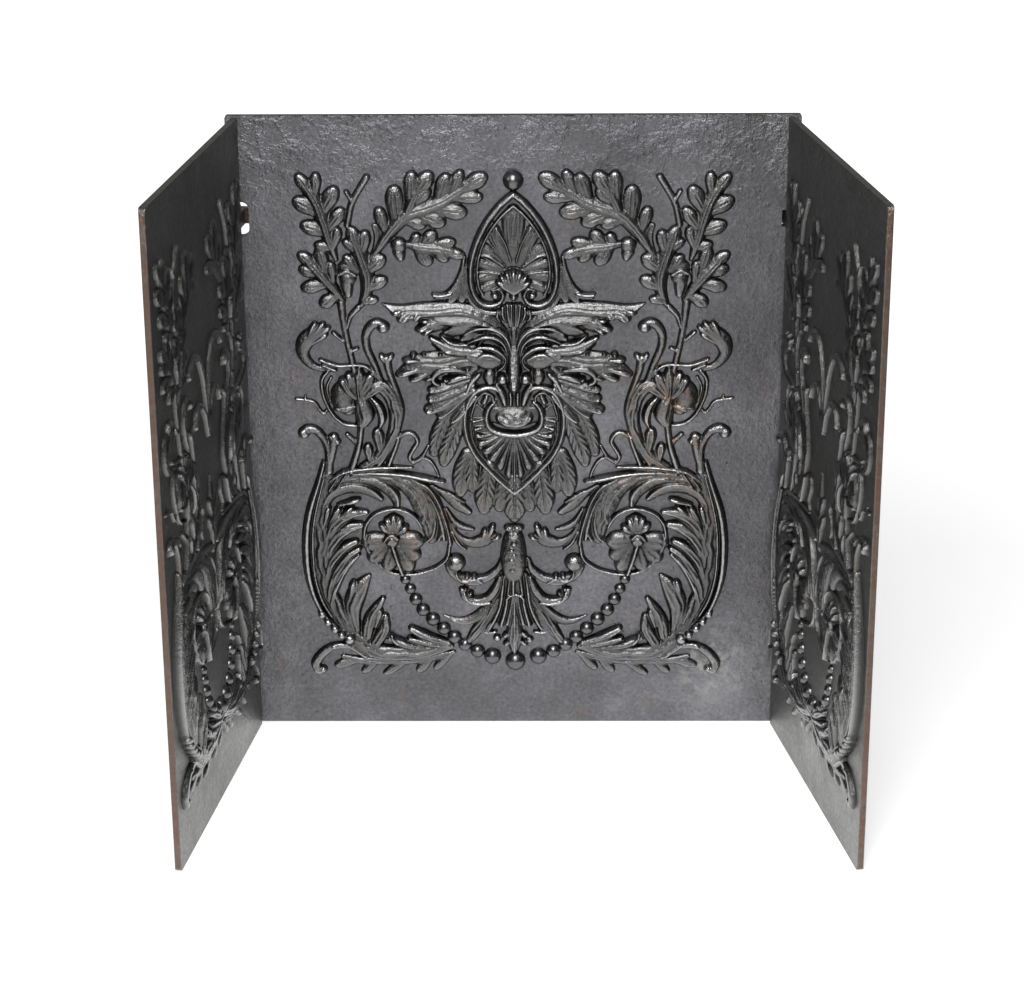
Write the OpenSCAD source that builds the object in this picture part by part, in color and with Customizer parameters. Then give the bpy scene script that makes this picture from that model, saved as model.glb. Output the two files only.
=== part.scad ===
// Three-panel cast iron fireback: an ornamented back plate with two splayed side cheeks.
// Millimetres. +Z is up and the fire side of the back plate faces -Y.
// The origin is the middle of the back plate's bottom face, on the hearth.

/* [Back plate] */
// Width of the back plate, end to end
back_w = 610; // [590:1:700]
// Height of the back plate
back_h = 711; // [700:1:800]
// Thickness of the back plate, without its ornament
back_t = 10; // [8:0.5:14]
// Radius of the back plate's bottom corners
back_foot_r = 7; // [3:0.5:12]
// Radius of the back plate's top corners
back_top_r = 3; // [2:0.5:8]

/* [Cheeks] */
// Width of each cheek, from its rear edge to its front edge
cheek_w = 352; // [346:1:420]
// How far a cheek stops below the top of the back plate
cheek_step = 2; // [0:0.5:20]
// Thickness of each cheek, without its ornament
cheek_t = 7; // [6:0.5:10]
// Radius of a cheek's front corners
cheek_corner_r = 5; // [2:0.5:10]
// Distance from the back plate's end to the inner face of the cheek
cheek_inset = 13.8; // [13:0.1:25]
// Splay of the left cheek, measured from square
left_splay = 8.5; // [0:0.5:14]
// Splay of the right cheek, measured from square
right_splay = 10.5; // [0:0.5:14]
// Greatest splay that the slots allow
most_splay = 14; // [14:0.5:18]

/* [Lugs and slots] */
// Height above the hearth of the middle of the hooked upper lugs
hook_z = 598; // [560:1:640]
// Height of a hooked lug, up and down
hook_h = 17; // [12:1:24]
// How far the hook reaches sideways behind the back plate
hook_reach = 14; // [10:0.5:18]
// Thickness of the hook's arm, front to back
hook_arm = 8; // [6:0.5:12]
// Height above the hearth of the middle of the plain lower lugs
tenon_z = 104; // [80:1:140]
// Height of a lower lug, up and down
tenon_h = 22; // [14:1:30]
// How far a lower lug stands out behind the back plate
tenon_stub = 6; // [2:0.5:12]
// Height of the tall oval slot at the upper left
tall_slot_h = 38; // [36:1:60]
// Extra width of the tall oval slot, towards the middle of the plate
tall_slot_w = 4; // [0:0.5:8]

/* [Ornament] */
// Height of the ornament, from the foot leaves to the top of the crest
ornament_h = 598; // [560:1:610]
// Height of the boldest ornament, the nose of the mask, off the back plate
relief_depth = 20; // [12:0.5:26]
// Height of the cheek ornament, as a share of the same forms on the back plate
cheek_relief_share = 0.85; // [0.6:0.05:1]
// Bare margin between a cheek's ornament and the cheek's front and rear edges
cheek_margin = 8; // [6:0.5:16]

/* [Finish] */
// Easing left on the cast edges of the plates
edge_r = 1.5; // [0.5:0.25:1.75]
// Gap left between a cheek and the back plate
joint_gap = 0.3; // [0.2:0.1:1]
// Clearance of a lug in its slot
slot_gap = 0.6; // [0.4:0.1:2]

/* [Hidden] */
SIDES = ["left", "right"];
BACK_MOTIFS = ["oak_branch", "vine", "scroll", "rosette", "foot_leaf", "mask_leaves"];
CHEEK_MOTIFS = ["oak_branch", "vine", "scroll", "rosette", "foot_leaf"];
ENDS = ["front", "rear"];

plate_colour = [0.24, 0.24, 0.26];
relief_colour = [0.13, 0.13, 0.14];
cheek_colour = [0.17, 0.17, 0.17];
cheek_relief_colour = [0.10, 0.10, 0.10];

cut = 1;                                   // how far a cutter runs past a face
boldest = 20;                              // the height that the stroke ratios were drawn for
cheek_h = back_h - cheek_step;
drawn_low = 57;                            // lowest and highest points of the ornament drawing
drawn_top = 655;
drawn_half = 240;                          // half the width of that drawing
drawing_scale = ornament_h / (drawn_top - drawn_low);
back_lift = (back_h - ornament_h) / 2 - drawn_low * drawing_scale;
cheek_lift = (cheek_h - ornament_h) / 2 - drawn_low * drawing_scale;
cheek_shift = drawn_half - (cheek_w / 2 - cheek_margin) / drawing_scale;
cutter_reach = 2 * relief_depth;           // how far a cutting prism stands off a plate

pivot_y = -back_t / 2 - joint_gap - cheek_t / 2;
pivot_x = back_w / 2 - cheek_inset + cheek_t / 2;
back_of_plate = cheek_t / 2 + joint_gap + back_t;   // from a pivot to the rear face
hook_start = (back_of_plate + joint_gap + (cheek_t / 2 + hook_reach) * sin(most_splay))
    / cos(most_splay);                     // keeps the hook clear at the widest splay
slot_in = back_of_plate * sin(most_splay) + cheek_t / 2 / cos(most_splay) + slot_gap;
slot_out = cheek_t / 2 + slot_gap;

// ---------------------------------------------------------------- ornament drawing
// Points are [x, z, half width] for the left half, seen from the fire side, with x = 0
// on the middle line. Lobes are [root x, root z, tip x, tip z, half width].

oak_ribs = [
    [[-190, 555, 3], [-198, 580, 3], [-208, 608, 2.5], [-222, 642, 2]],
    [[-184, 505, 4], [-196, 527, 3], [-210, 552, 2.5]],
    [[-170, 505, 3], [-160, 530, 3], [-163, 558, 2.5], [-172, 582, 2]],
    [[-161, 552, 3], [-140, 577, 3], [-118, 596, 3], [-88, 614, 2.5], [-58, 634, 2]],
    [[-130, 573, 2.5], [-98, 573, 2.5], [-72, 566, 2]]
];
oak_lobes = [
    [-215, 625, -229, 648, 6], [-208, 606, -229, 619, 6], [-200, 584, -225, 592, 6.5],
    [-194, 566, -210, 571, 4.5], [-212, 622, -209, 647, 5], [-205, 604, -191, 630, 6],
    [-199, 584, -187, 609, 6],
    [-208, 548, -228, 560, 5.5], [-203, 540, -225, 545, 5], [-196, 527, -226, 524, 5.5],
    [-190, 513, -209, 505, 5.5], [-195, 528, -194, 552, 5],
    [-170, 575, -178, 587, 5.5], [-163, 560, -161, 582, 5.5], [-161, 542, -142, 556, 5.5],
    [-160, 518, -142, 530, 5.5], [-166, 503, -150, 509, 4.5], [-164, 560, -180, 569, 5]
];
oak_arm_lobes = [
    [-55, 636, -36, 645, 5.5], [-61, 632, -58, 647, 4.5], [-77, 622, -75, 643, 5.5],
    [-98, 612, -90, 644, 6], [-112, 604, -109, 645, 6], [-124, 596, -130, 631, 6.5],
    [-138, 582, -145, 609, 5.5], [-64, 627, -39, 625, 5], [-81, 616, -58, 608, 6],
    [-97, 606, -78, 596, 6], [-112, 598, -90, 587, 5.5]
];
oak_low_leaf = [
    [-90, 573, -64, 577, 5], [-80, 568, -58, 561, 4], [-88, 570, -76, 556, 5],
    [-103, 572, -93, 554, 5.5]
];
oak_twigs = [
    [[-179, 590, 3.5], [-173, 612, 3.5], [-162, 634, 3.5], [-156, 646, 4]],
    [[-167, 402, 4], [-175, 440, 4.5], [-182, 475, 4.5], [-185, 505, 5]]
];
acorns = [[-179, 537, -178, 522], [-123, 573, -120, 561]];
acorn_cup_r = 8.5;
acorn_nut_r = 6.5;

vine_stems = [
    [[-147, 434, 3.5], [-157, 455, 4], [-162, 472, 4.5], [-157, 484, 5], [-148, 487, 5.5],
     [-141, 483, 5]],
    [[-200, 434, 3], [-216, 433, 4], [-229, 444, 5.5], [-233, 458, 6], [-226, 471, 5.5],
     [-207, 477, 2.5]],
    [[-158, 318, 6], [-137, 345, 6], [-127, 375, 6], [-130, 398, 5], [-144, 420, 4],
     [-165, 437, 3], [-190, 436, 3], [-207, 443, 3]],
    [[-205, 430, 3], [-211, 410, 3], [-207, 388, 3], [-193, 372, 3], [-172, 367, 3]],
    [[-133, 400, 4], [-137, 424, 4], [-134, 442, 4.5], [-124, 447, 3]],
    [[-206, 316, 6], [-207, 343, 5], [-216, 358, 4.5], [-228, 362, 5], [-233, 357, 5]],
    [[-198, 318, 5], [-197, 348, 6]],
    [[-167, 372, 5], [-170, 345, 4.5], [-181, 314, 5]],
    [[-133, 348, 3], [-124, 357, 3], [-112, 357, 3], [-108, 348, 3], [-113, 332, 3],
     [-110, 321, 2.5]],
    [[-236, 397, 2], [-226, 395, 2], [-214, 387, 2], [-208, 380, 2]]
];
vine_lobes = [
    [-193, 396, -193, 410, 14], [-178, 378, -175, 398, 10], [-163, 378, -160, 396, 11],
    [-165, 428, -152, 408, 7], [-165, 318, -153, 356, 8]
];

scroll_strokes = [
    [[-207, 316, 5], [-216, 288, 6], [-228, 258, 7], [-233, 228, 7.5], [-233, 196, 7.5],
     [-227, 168, 7], [-215, 143, 6], [-199, 122, 6], [-182, 107, 6]],
    [[-212, 288, 6], [-190, 303, 7], [-160, 308, 8], [-128, 306, 8], [-102, 295, 7],
     [-84, 270, 6], [-76, 240, 5], [-80, 214, 4], [-98, 196, 3.5], [-122, 189, 3]],
    [[-140, 316, 5], [-114, 315, 4]],
    [[-112, 304, 5], [-80, 301, 3.5]],
    [[-92, 290, 5], [-72, 279, 6], [-54, 264, 3.5]],
    [[-80, 272, 3], [-68, 250, 3.5], [-51, 241, 2.5]],
    [[-76, 248, 3.5], [-67, 228, 4], [-58, 218, 3]],
    [[-68, 236, 3.5], [-53, 225, 4], [-36, 227, 5], [-27, 242, 4]],
    [[-160, 297, 7], [-138, 285, 6], [-128, 268, 4]],
    [[-125, 297, 8], [-107, 280, 8], [-100, 250, 9], [-106, 234, 6]],
    [[-216, 250, 4], [-203, 268, 5]],
    [[-218, 232, 5], [-200, 258, 6], [-182, 270, 4]],
    [[-217, 214, 5], [-197, 242, 7], [-176, 256, 4]],
    [[-214, 198, 5], [-196, 218, 6], [-178, 226, 4]],
    [[-210, 182, 5], [-193, 202, 5], [-177, 212, 3.5]],
    [[-195, 130, 5], [-186, 155, 8], [-177, 178, 9], [-163, 187, 3.5]],
    [[-199, 136, 4], [-203, 164, 4]],
    [[-172, 112, 7], [-163, 142, 8], [-154, 157, 4]],
    [[-165, 106, 8], [-146, 128, 8], [-148, 147, 4]],
    [[-182, 108, 6], [-160, 97, 8], [-130, 94, 9], [-98, 97, 8], [-76, 98, 5]],
    [[-133, 104, 5], [-114, 115, 6], [-92, 108, 6], [-74, 103, 4]]
];
rim_beads = [[-217, 136, 5], [-209, 126, 5], [-199, 117, 5.5], [-188, 109, 6]];

foot_strokes = [
    [[-184, 96, 5], [-205, 97, 6], [-221, 92, 6], [-230, 80, 6.5], [-225, 70, 7]],
    [[-200, 84, 5], [-165, 80, 6], [-130, 80, 6], [-95, 84, 5], [-64, 92, 3]],
    [[-172, 80, 5], [-170, 68, 5]],
    [[-128, 80, 5], [-142, 68, 5]],
    [[-100, 82, 5], [-107, 71, 5]],
    [[-72, 88, 5], [-88, 75, 5]]
];

rosette_at = [-139, 228];
petal_reach = 18;
petal_r = 11;
petal_turn = 18;
petals = 5;
boss_r = 7.5;
ring_r = 33;
ring_stroke = 3;
ring_steps = 16;
ring_from = 285;                           // the ring opens where the scroll runs into it
ring_sweep = -255;
spike = [[-137, 222, 4], [-130, 198, 5], [-126, 188, 4]];

swag_beads = [
    [0, 78, 11.8], [26, 84, 10.2], [43, 90.5, 8.6], [57, 98.5, 8.4], [69, 108, 8.4],
    [81, 118.5, 8.4], [93, 130, 8.6], [104, 141.5, 8.2], [112, 154.5, 7.8],
    [118, 167.5, 6.8], [123.5, 179, 6.4]
];
cheek_swag_beads = [
    [0, 108, 10], [20, 113, 8.6], [35.5, 122.5, 7.8], [46.5, 135.5, 7.4],
    [53, 150.5, 7], [56.5, 165, 6.2], [58.5, 177, 5.2]
];

pendant_strokes = [
    [[-18, 202, 6], [-34, 187, 5], [-54, 182, 5.5], [-70, 190, 6], [-73, 202, 6],
     [-66, 204, 8]],
    [[-20, 176, 6], [-34, 160, 5], [-50, 156, 5], [-59, 164, 5], [-57, 171, 4]],
    [[-22, 156, 6], [-44, 137, 6], [-64, 132, 5], [-82, 138, 2.5]],
    [[-16, 158, 7], [-32, 128, 7], [-48, 106, 4]],
    [[-9, 165, 6], [-16, 136, 6], [-22, 120, 5]],
    [[-7, 225, 9], [-9, 200, 12], [-12, 180, 12], [-10, 160, 8]]
];
pendant_leaf = [[0, 166, 5], [0, 140, 7], [0, 114, 10], [0, 92, 4]];
pendant_core = [[0, 236, 10], [0, 205, 14], [0, 176, 14]];
pendant_knob = [0, 243, 10];
pendant_stud = [-18, 107, 5];

frame_stroke = [[0, 625, 4.5], [-14, 613, 4.5], [-29, 593, 4.5], [-40, 570, 4.5],
    [-46, 545, 4.5], [-45, 522, 4.5], [-38, 508, 4.5], [-26, 503, 4.5], [-15, 507, 4],
    [-12, 516, 4], [-18, 523, 4], [-24, 518, 4]];
crest_ribs = [
    [[-4, 552, 4], [-16, 594, 6]], [[-9, 549, 4], [-28, 574, 6]],
    [[-15, 542, 4], [-35, 552, 6]], [[-16, 534, 4], [-37, 533, 6]]
];
crest_mid_rib = [[0, 553, 4], [0, 603, 7]];
crest_bracket = [
    [[-52, 562, 3], [-57, 540, 5], [-63, 522, 6], [-74, 514, 5], [-86, 513, 4]],
    [[-53, 536, 5], [-55, 512, 7]]
];
crest_shell = [0, 534, 17];
crest_bead = [0, 513, 5];
crest_drop = [[-7, 502, 4], [-4, 478, 3]];
finial = [0, 641, 11.5];

mask_strokes = [
    [[-8, 398, 5], [-14, 393, 5.5]],
    [[-15, 412, 8], [-22, 420, 7]],
    [[-30, 420, 8], [-36, 414, 7]],
    [[-6, 456, 5], [-22, 446, 8], [-40, 440, 8]],
    [[-28, 394, 4], [-34, 378, 4], [-28, 363, 4], [-13, 355, 4], [0, 353, 4]]
];
nose = [[0, 462, 5], [0, 430, 7], [0, 402, 10]];
tongue = [[-14, 371, 9], [14, 371, 9]];
brow_strokes = [
    [[-5, 460, 4], [-12, 474, 6], [-28, 489, 7], [-52, 498, 8], [-86, 500, 9],
     [-118, 499, 8], [-140, 506, 3]],
    [[-16, 468, 5], [-38, 482, 8], [-66, 486, 9], [-90, 480, 8], [-105, 477, 4]],
    [[-20, 460, 5], [-42, 464, 7], [-66, 460, 8], [-90, 466, 4]],
    [[-38, 446, 6], [-70, 445, 7], [-96, 445, 7], [-112, 449, 3.5]],
    [[-44, 436, 6], [-78, 434, 8], [-106, 430, 7], [-126, 427, 4]],
    [[-48, 424, 6], [-76, 418, 8], [-90, 414, 5]],
    [[-54, 412, 6], [-74, 406, 7], [-90, 406, 4]],
    [[-60, 400, 6], [-78, 392, 7], [-95, 385, 4.5]]
];

chin_frame = [[-12, 400, 4], [-20, 409, 4.5], [-33, 410, 4.5], [-46, 402, 4.5],
    [-54, 384, 4.5], [-55, 364, 4.5], [-51, 345, 4.5], [-40, 325, 4.5], [-25, 308, 4.5],
    [-11, 295, 4.5], [0, 287, 4.5]];
chin_ribs = [
    [[-6, 344, 4], [-14, 316, 5]], [[-13, 346, 4], [-26, 327, 5.5]],
    [[-22, 351, 4], [-37, 345, 5.5]], [[-31, 361, 4], [-43, 364, 5.5]],
    [[-35, 376, 4], [-43, 384, 5]]
];
chin_mid_rib = [[0, 344, 4], [0, 303, 6]];

beard_lobes = [
    [-68, 374, -83, 341, 7.5], [-62, 362, -72, 326, 8], [-56, 340, -56, 292, 9],
    [-44, 316, -33, 270, 9.5], [-18, 286, -17, 270, 8]
];
beard_mid_lobe = [0, 282, 0, 268, 11];

cheek_tendril_strokes = [
    [[0, 430, 4], [-7, 470, 4], [-17, 498, 4], [-34, 514, 4.5], [-52, 512, 4.5],
     [-62, 502, 5]],
    [[-6, 426, 3.5], [-14, 448, 3.5], [-28, 461, 4], [-42, 455, 4], [-48, 444, 4]]
];
cheek_middle_leaf = [[0, 296, 4], [0, 318, 8], [0, 346, 7], [0, 372, 3]];

// ---------------------------------------------------------------- ornament tools

knob_sides = 6;
stem_ratio = 1.25;                         // height of a stem over its half width
leaf_ratio = 0.95;
bold_ratio = 1.5;
bead_ratio = 1.8;
nose_ratio = 2;
shell_ratio = 0.6;
bead_sunk = 0.15;                          // share of a bead's radius that its plate hides
$footprint = false;                        // true draws each form as a prism, for cutting

// One facetted knob standing on the plate: a cone of half width w, ratio times as high.
module knob(x, z, w, ratio) {
    translate([x, 0, z])
        rotate([90, 0, 0])
            if ($footprint)
                translate([0, 0, -cut])
                    cylinder(h = cutter_reach, r = w, $fn = knob_sides);
            else
                cylinder(h = w * ratio * $relief, r1 = w, r2 = 0, $fn = knob_sides);
}

// A ridge that runs through points [x, z, half width].
module ridge(points, ratio) {
    for (i = [0 : len(points) - 2])
        hull() {
            knob(points[i][0], points[i][1], points[i][2], ratio);
            knob(points[i + 1][0], points[i + 1][1], points[i + 1][2], ratio);
        }
}

module ridges(list, ratio) {
    for (points = list)
        ridge(points, ratio);
}

// A leaf lobe, narrow at its root [x, z] and round at its tip.
module lobe(l, ratio) {
    root_share = 0.5;
    hull() {
        knob(l[0], l[1], l[4] * root_share, ratio);
        knob(l[2], l[3], l[4], ratio);
    }
}

module lobes(list, ratio) {
    for (l = list)
        lobe(l, ratio);
}

// A round bead [x, z, radius], sunk in the plate to a little past its middle.
module bead(b) {
    translate([b[0], 0, b[1]])
        rotate([90, 0, 0])
            if ($footprint)
                translate([0, 0, -cut])
                    cylinder(h = cutter_reach, r = b[2], $fn = 24);
            else
                rotate_extrude()
                    intersection() {
                        translate([0, -bead_sunk * b[2]])
                            circle(r = b[2], $fn = 48);
                        square([b[2], 2 * b[2]]);
                    }
}

// Draws its first child, cut back to where the others don't stand, so that motifs which
// run into each other meet face to face.
module beside() {
    difference() {
        children(0);
        footprint()
            children([1 : $children - 1]);
    }
}

module footprint() {
    $footprint = true;
    children();
}

module both_halves() {
    children();
    mirror([1, 0, 0])
        children();
}

module half_of(side) {
    if (side == "left")
        children();
    else
        mirror([1, 0, 0])
            children();
}

// ---------------------------------------------------------------- motifs, left half

module oak_motif() {
    ridges(oak_ribs, stem_ratio);
    ridges(oak_twigs, stem_ratio);
    lobes(oak_lobes, leaf_ratio);
    lobes(oak_arm_lobes, leaf_ratio);
    lobes(oak_low_leaf, leaf_ratio);
    for (a = acorns) {
        knob(a[0], a[1], acorn_cup_r, leaf_ratio);
        lobe([a[0], a[1], a[2], a[3], acorn_nut_r], bold_ratio);
    }
}

module oak_motif_short() {
    ridges([oak_ribs[0], oak_ribs[1], oak_ribs[2]], stem_ratio);
    ridges(oak_twigs, stem_ratio);
    lobes(oak_lobes, leaf_ratio);
    short_arm = [for (i = [4 : 6]) oak_arm_lobes[i]];
    ridge([for (i = [0 : 2]) oak_ribs[3][i]], stem_ratio);
    lobes(short_arm, leaf_ratio);
    lobe(oak_arm_lobes[10], leaf_ratio);
}

module vine_motif() {
    ridges(vine_stems, stem_ratio);
    lobes(vine_lobes, leaf_ratio);
}

module scroll_motif() {
    ridges(scroll_strokes, bold_ratio);
    for (b = rim_beads)
        knob(b[0], b[1], b[2], bead_ratio);
}

// The cheek's scroll leaves out the leaves that reach for the back plate's pendant.
module scroll_motif_short() {
    kept = [0, 1, 2, 8, 9, 10, 11, 12, 13, 14, 15, 16, 17, 18];
    for (i = kept)
        ridge(scroll_strokes[i], bold_ratio);
    for (b = rim_beads)
        knob(b[0], b[1], b[2], bead_ratio);
}

module foot_motif() {
    ridges(foot_strokes, stem_ratio);
}

module brow_motif() {
    ridges(brow_strokes, stem_ratio);
}

module rosette_motif() {
    x = rosette_at[0];
    z = rosette_at[1];
    for (i = [0 : petals - 1]) {
        a = petal_turn + i * 360 / petals;
        lobe([x, z, x + petal_reach * cos(a), z + petal_reach * sin(a), petal_r], leaf_ratio);
    }
    knob(x, z, boss_r, bold_ratio);
    ring = [for (i = [0 : ring_steps])
        let (a = ring_from + ring_sweep * i / ring_steps)
        [x + ring_r * cos(a), z + ring_r * sin(a), ring_stroke]];
    ridge(ring, stem_ratio);
    ridge(spike, bead_ratio);
}

// ---------------------------------------------------------------- motifs of the middle

module crest_motif() {
    both_halves() {
        ridge(frame_stroke, bold_ratio);
        ridges(crest_ribs, leaf_ratio);
        ridges(crest_bracket, stem_ratio);
        ridge(crest_drop, stem_ratio);
    }
    ridge(crest_mid_rib, leaf_ratio);
    knob(crest_shell[0], crest_shell[1], crest_shell[2], shell_ratio);
    knob(crest_bead[0], crest_bead[1], crest_bead[2], bold_ratio);
}

module mask_motif() {
    both_halves()
        ridges(mask_strokes, stem_ratio);
    ridge(nose, nose_ratio);
    ridge(tongue, leaf_ratio);
}

module beard_frame_motif() {
    both_halves() {
        ridge(chin_frame, bold_ratio);
        ridges(chin_ribs, leaf_ratio);
    }
    ridge(chin_mid_rib, leaf_ratio);
}

module beard_leaves_motif() {
    both_halves()
        lobes(beard_lobes, shell_ratio);
    lobe(beard_mid_lobe, shell_ratio);
}

module pendant_motif() {
    both_halves() {
        ridges(pendant_strokes, stem_ratio);
        knob(pendant_stud[0], pendant_stud[1], pendant_stud[2], bold_ratio);
    }
    ridge(pendant_core, leaf_ratio);
    ridge(pendant_leaf, stem_ratio);
    knob(pendant_knob[0], pendant_knob[1], pendant_knob[2], stem_ratio);
}

module tendrils_motif() {
    both_halves()
        ridges(cheek_tendril_strokes, stem_ratio);
    ridge(cheek_middle_leaf, stem_ratio);
}

// A string of beads that hangs in the middle. The first bead is on the middle line.
module swag(beads) {
    bead(beads[0]);
    both_halves()
        for (i = [1 : len(beads) - 1])
            bead(beads[i]);
}

// ---------------------------------------------------------------- placing

module on_back() {
    $relief = relief_depth / boldest / drawing_scale;
    translate([0, -back_t / 2, back_lift])
        scale(drawing_scale)
            children();
}

// Stands a panel, drawn facing -Y with x = 0 on its pivot, at a cheek's place.
module at_cheek(side) {
    turn = side == "left" ? 90 - left_splay : right_splay - 90;
    at = side == "left" ? -pivot_x : pivot_x;
    translate([at, pivot_y, 0])
        rotate([0, 0, turn])
            children();
}

// The middle of a cheek's inner face, with x towards the right as one looks at it.
module on_cheek(side) {
    away = side == "left" ? -1 : 1;
    middle = away * (cheek_w - cheek_t) / 2;
    $relief = cheek_relief_share * relief_depth / boldest / drawing_scale;
    at_cheek(side)
        translate([middle, -cheek_t / 2, cheek_lift])
            scale(drawing_scale)
                children();
}

// The left half of the drawing, moved in to fit a cheek.
module moved_in() {
    translate([cheek_shift, 0, 0])
        children();
}

// One end of a cheek's ornament, up to the middle of the cheek.
module cheek_end(side, end) {
    left_hand = (side == "left") == (end == "front");
    on_cheek(side)
        half_of(left_hand ? "left" : "right")
            intersection() {
                children();
                translate([-drawn_half, -cutter_reach, 0])
                    cube([drawn_half, cutter_reach, drawn_top]);
            }
}

// ---------------------------------------------------------------- plates

// The back plate's outline, drawn in by a margin. The margin is the width of the easing
// that runs round both faces.
module plate_outline(margin) {
    for (s = [-1, 1]) {
        translate([s * (back_w / 2 - back_foot_r), back_foot_r])
            circle(r = back_foot_r - margin, $fn = 32);
        translate([s * (back_w / 2 - back_top_r), back_h - back_top_r])
            circle(r = back_top_r - margin, $fn = 32);
    }
}

// A slot through the back plate between x0 and x1, h high, with round ends.
module slot_cut(x0, x1, z, h) {
    r = (x1 - x0) / 2;
    translate([(x0 + x1) / 2, 0, z])
        rotate([90, 0, 0])
            linear_extrude(back_t + 2 * cut, center = true)
                hull()
                    for (s = [-1, 1])
                        translate([0, s * (h / 2 - r)])
                            circle(r = r, $fn = 32);
}

module square_slot(x0, x1, z, h) {
    translate([x0, -back_t / 2 - cut, z - h / 2])
        cube([x1 - x0, back_t + 2 * cut, h]);
}

module back_plate() {
    color(plate_colour)
        difference() {
            rotate([90, 0, 0])
                hull() {
                    linear_extrude(back_t - 2 * edge_r, center = true)
                        plate_outline(0);
                    linear_extrude(back_t, center = true)
                        plate_outline(edge_r);
                }
            slot_cut(-pivot_x - slot_out, -pivot_x + slot_in + tall_slot_w, hook_z,
                tall_slot_h);
            square_slot(pivot_x - slot_in, pivot_x + slot_out, hook_z, hook_h + 2 * slot_gap);
            for (s = [0, 1])
                mirror([s, 0, 0])
                    square_slot(-pivot_x - slot_out, -pivot_x + slot_in, tenon_z,
                        tenon_h + 2 * slot_gap);
        }
}

// A bar's section, a by b, with the cast edge radius on its four corners.
module rounded_bar(a, b) {
    for (s = [-1, 1], t = [-1, 1])
        translate([s * (a / 2 - edge_r), t * (b / 2 - edge_r)])
            circle(r = edge_r, $fn = 24);
    square([a - 2 * edge_r, b], center = true);
    square([a, b - 2 * edge_r], center = true);
}

// A cheek's outline from the centres of its two front corners, which lie at x = 0.
module cheek_end_outline(away) {
    for (z = [cheek_corner_r, cheek_h - cheek_corner_r])
        translate([0, z])
            circle(r = cheek_corner_r, $fn = 32);
    translate([away < 0 ? 0 : -cheek_w, 0])
        square([cheek_w, cheek_h]);
    translate([-cheek_corner_r, cheek_corner_r])
        square([2 * cheek_corner_r, cheek_h - 2 * cheek_corner_r]);
}

// A cheek drawn with its pivot at x = 0. away is -1 when it reaches to the left.
module cheek_plate(away) {
    reach = cheek_w - cheek_t / 2;
    cylinder(r = cheek_t / 2, h = cheek_h, $fn = 48);
    intersection() {
        translate([away * reach / 2, 0, cheek_h / 2])
            cube([reach, cheek_t, cheek_h], center = true);
        translate([away * (reach - cheek_corner_r), 0, 0])
            rotate([90, 0, 0])
                linear_extrude(cheek_t, center = true)
                    cheek_end_outline(away);
        linear_extrude(cheek_h)
            translate([away * (reach / 2 - edge_r), 0])
                rounded_bar(reach + 2 * edge_r, cheek_t);
    }
    cheek_lugs(away);
}

// The hooked upper lug turns inwards behind the back plate; the lower one is straight.
module cheek_lugs(away) {
    shank = hook_start + hook_arm;
    translate([-away * shank / 2, 0, hook_z])
        cube([shank, cheek_t, hook_h], center = true);
    translate([-away * (hook_start + hook_arm / 2), -hook_reach / 2, hook_z])
        cube([hook_arm, hook_reach + cheek_t, hook_h], center = true);
    tenon = back_of_plate + tenon_stub;
    translate([-away * tenon / 2, 0, tenon_z])
        cube([tenon, cheek_t, tenon_h], center = true);
}

module left_cheek_plate() {
    color(cheek_colour)
        at_cheek("left")
            cheek_plate(-1);
}

module right_cheek_plate() {
    color(cheek_colour)
        at_cheek("right")
            cheek_plate(1);
}

// ---------------------------------------------------------------- middle of the back

module crest() {
    color(relief_colour)
        on_back()
            beside() {
                crest_motif();
                bead(finial);
                mask_motif();
            }
}

module finial_ball() {
    color(relief_colour)
        on_back()
            bead(finial);
}

module mask() {
    color(relief_colour)
        on_back()
            mask_motif();
}

module beard_frame() {
    color(relief_colour)
        on_back()
            beside() {
                beard_frame_motif();
                mask_motif();
            }
}

module beard_leaves() {
    color(relief_colour)
        on_back()
            beside() {
                beard_leaves_motif();
                beard_frame_motif();
            }
}

module pendant() {
    color(relief_colour)
        on_back()
            beside() {
                pendant_motif();
                swag(swag_beads);
                both_halves()
                    scroll_motif();
            }
}

module bead_swag() {
    color(relief_colour)
        on_back()
            swag(swag_beads);
}

// ---------------------------------------------------------------- sides of the back

module back_oak_branch(side) {
    color(relief_colour)
        on_back()
            half_of(side)
                beside() {
                    oak_motif();
                    crest_motif();
                }
}

module back_vine(side) {
    color(relief_colour)
        on_back()
            half_of(side)
                beside() {
                    vine_motif();
                    oak_motif();
                    scroll_motif();
                }
}

module back_scroll(side) {
    color(relief_colour)
        on_back()
            half_of(side)
                beside() {
                    scroll_motif();
                    rosette_motif();
                    swag(swag_beads);
                }
}

module back_rosette(side) {
    color(relief_colour)
        on_back()
            half_of(side)
                beside() {
                    rosette_motif();
                    swag(swag_beads);
                }
}

module back_foot_leaf(side) {
    color(relief_colour)
        on_back()
            half_of(side)
                beside() {
                    foot_motif();
                    scroll_motif();
                    swag(swag_beads);
                }
}

module back_mask_leaves(side) {
    color(relief_colour)
        on_back()
            half_of(side)
                beside() {
                    brow_motif();
                    crest_motif();
                    mask_motif();
                    beard_frame_motif();
                }
}

// ---------------------------------------------------------------- cheeks

module cheek_oak_branch(side, end) {
    color(cheek_relief_colour)
        cheek_end(side, end)
            moved_in()
                oak_motif_short();
}

module cheek_vine(side, end) {
    color(cheek_relief_colour)
        cheek_end(side, end)
            moved_in()
                beside() {
                    vine_motif();
                    oak_motif_short();
                    scroll_motif_short();
                }
}

module cheek_scroll(side, end) {
    color(cheek_relief_colour)
        cheek_end(side, end)
            beside() {
                moved_in()
                    scroll_motif_short();
                moved_in()
                    rosette_motif();
                swag(cheek_swag_beads);
            }
}

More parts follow.
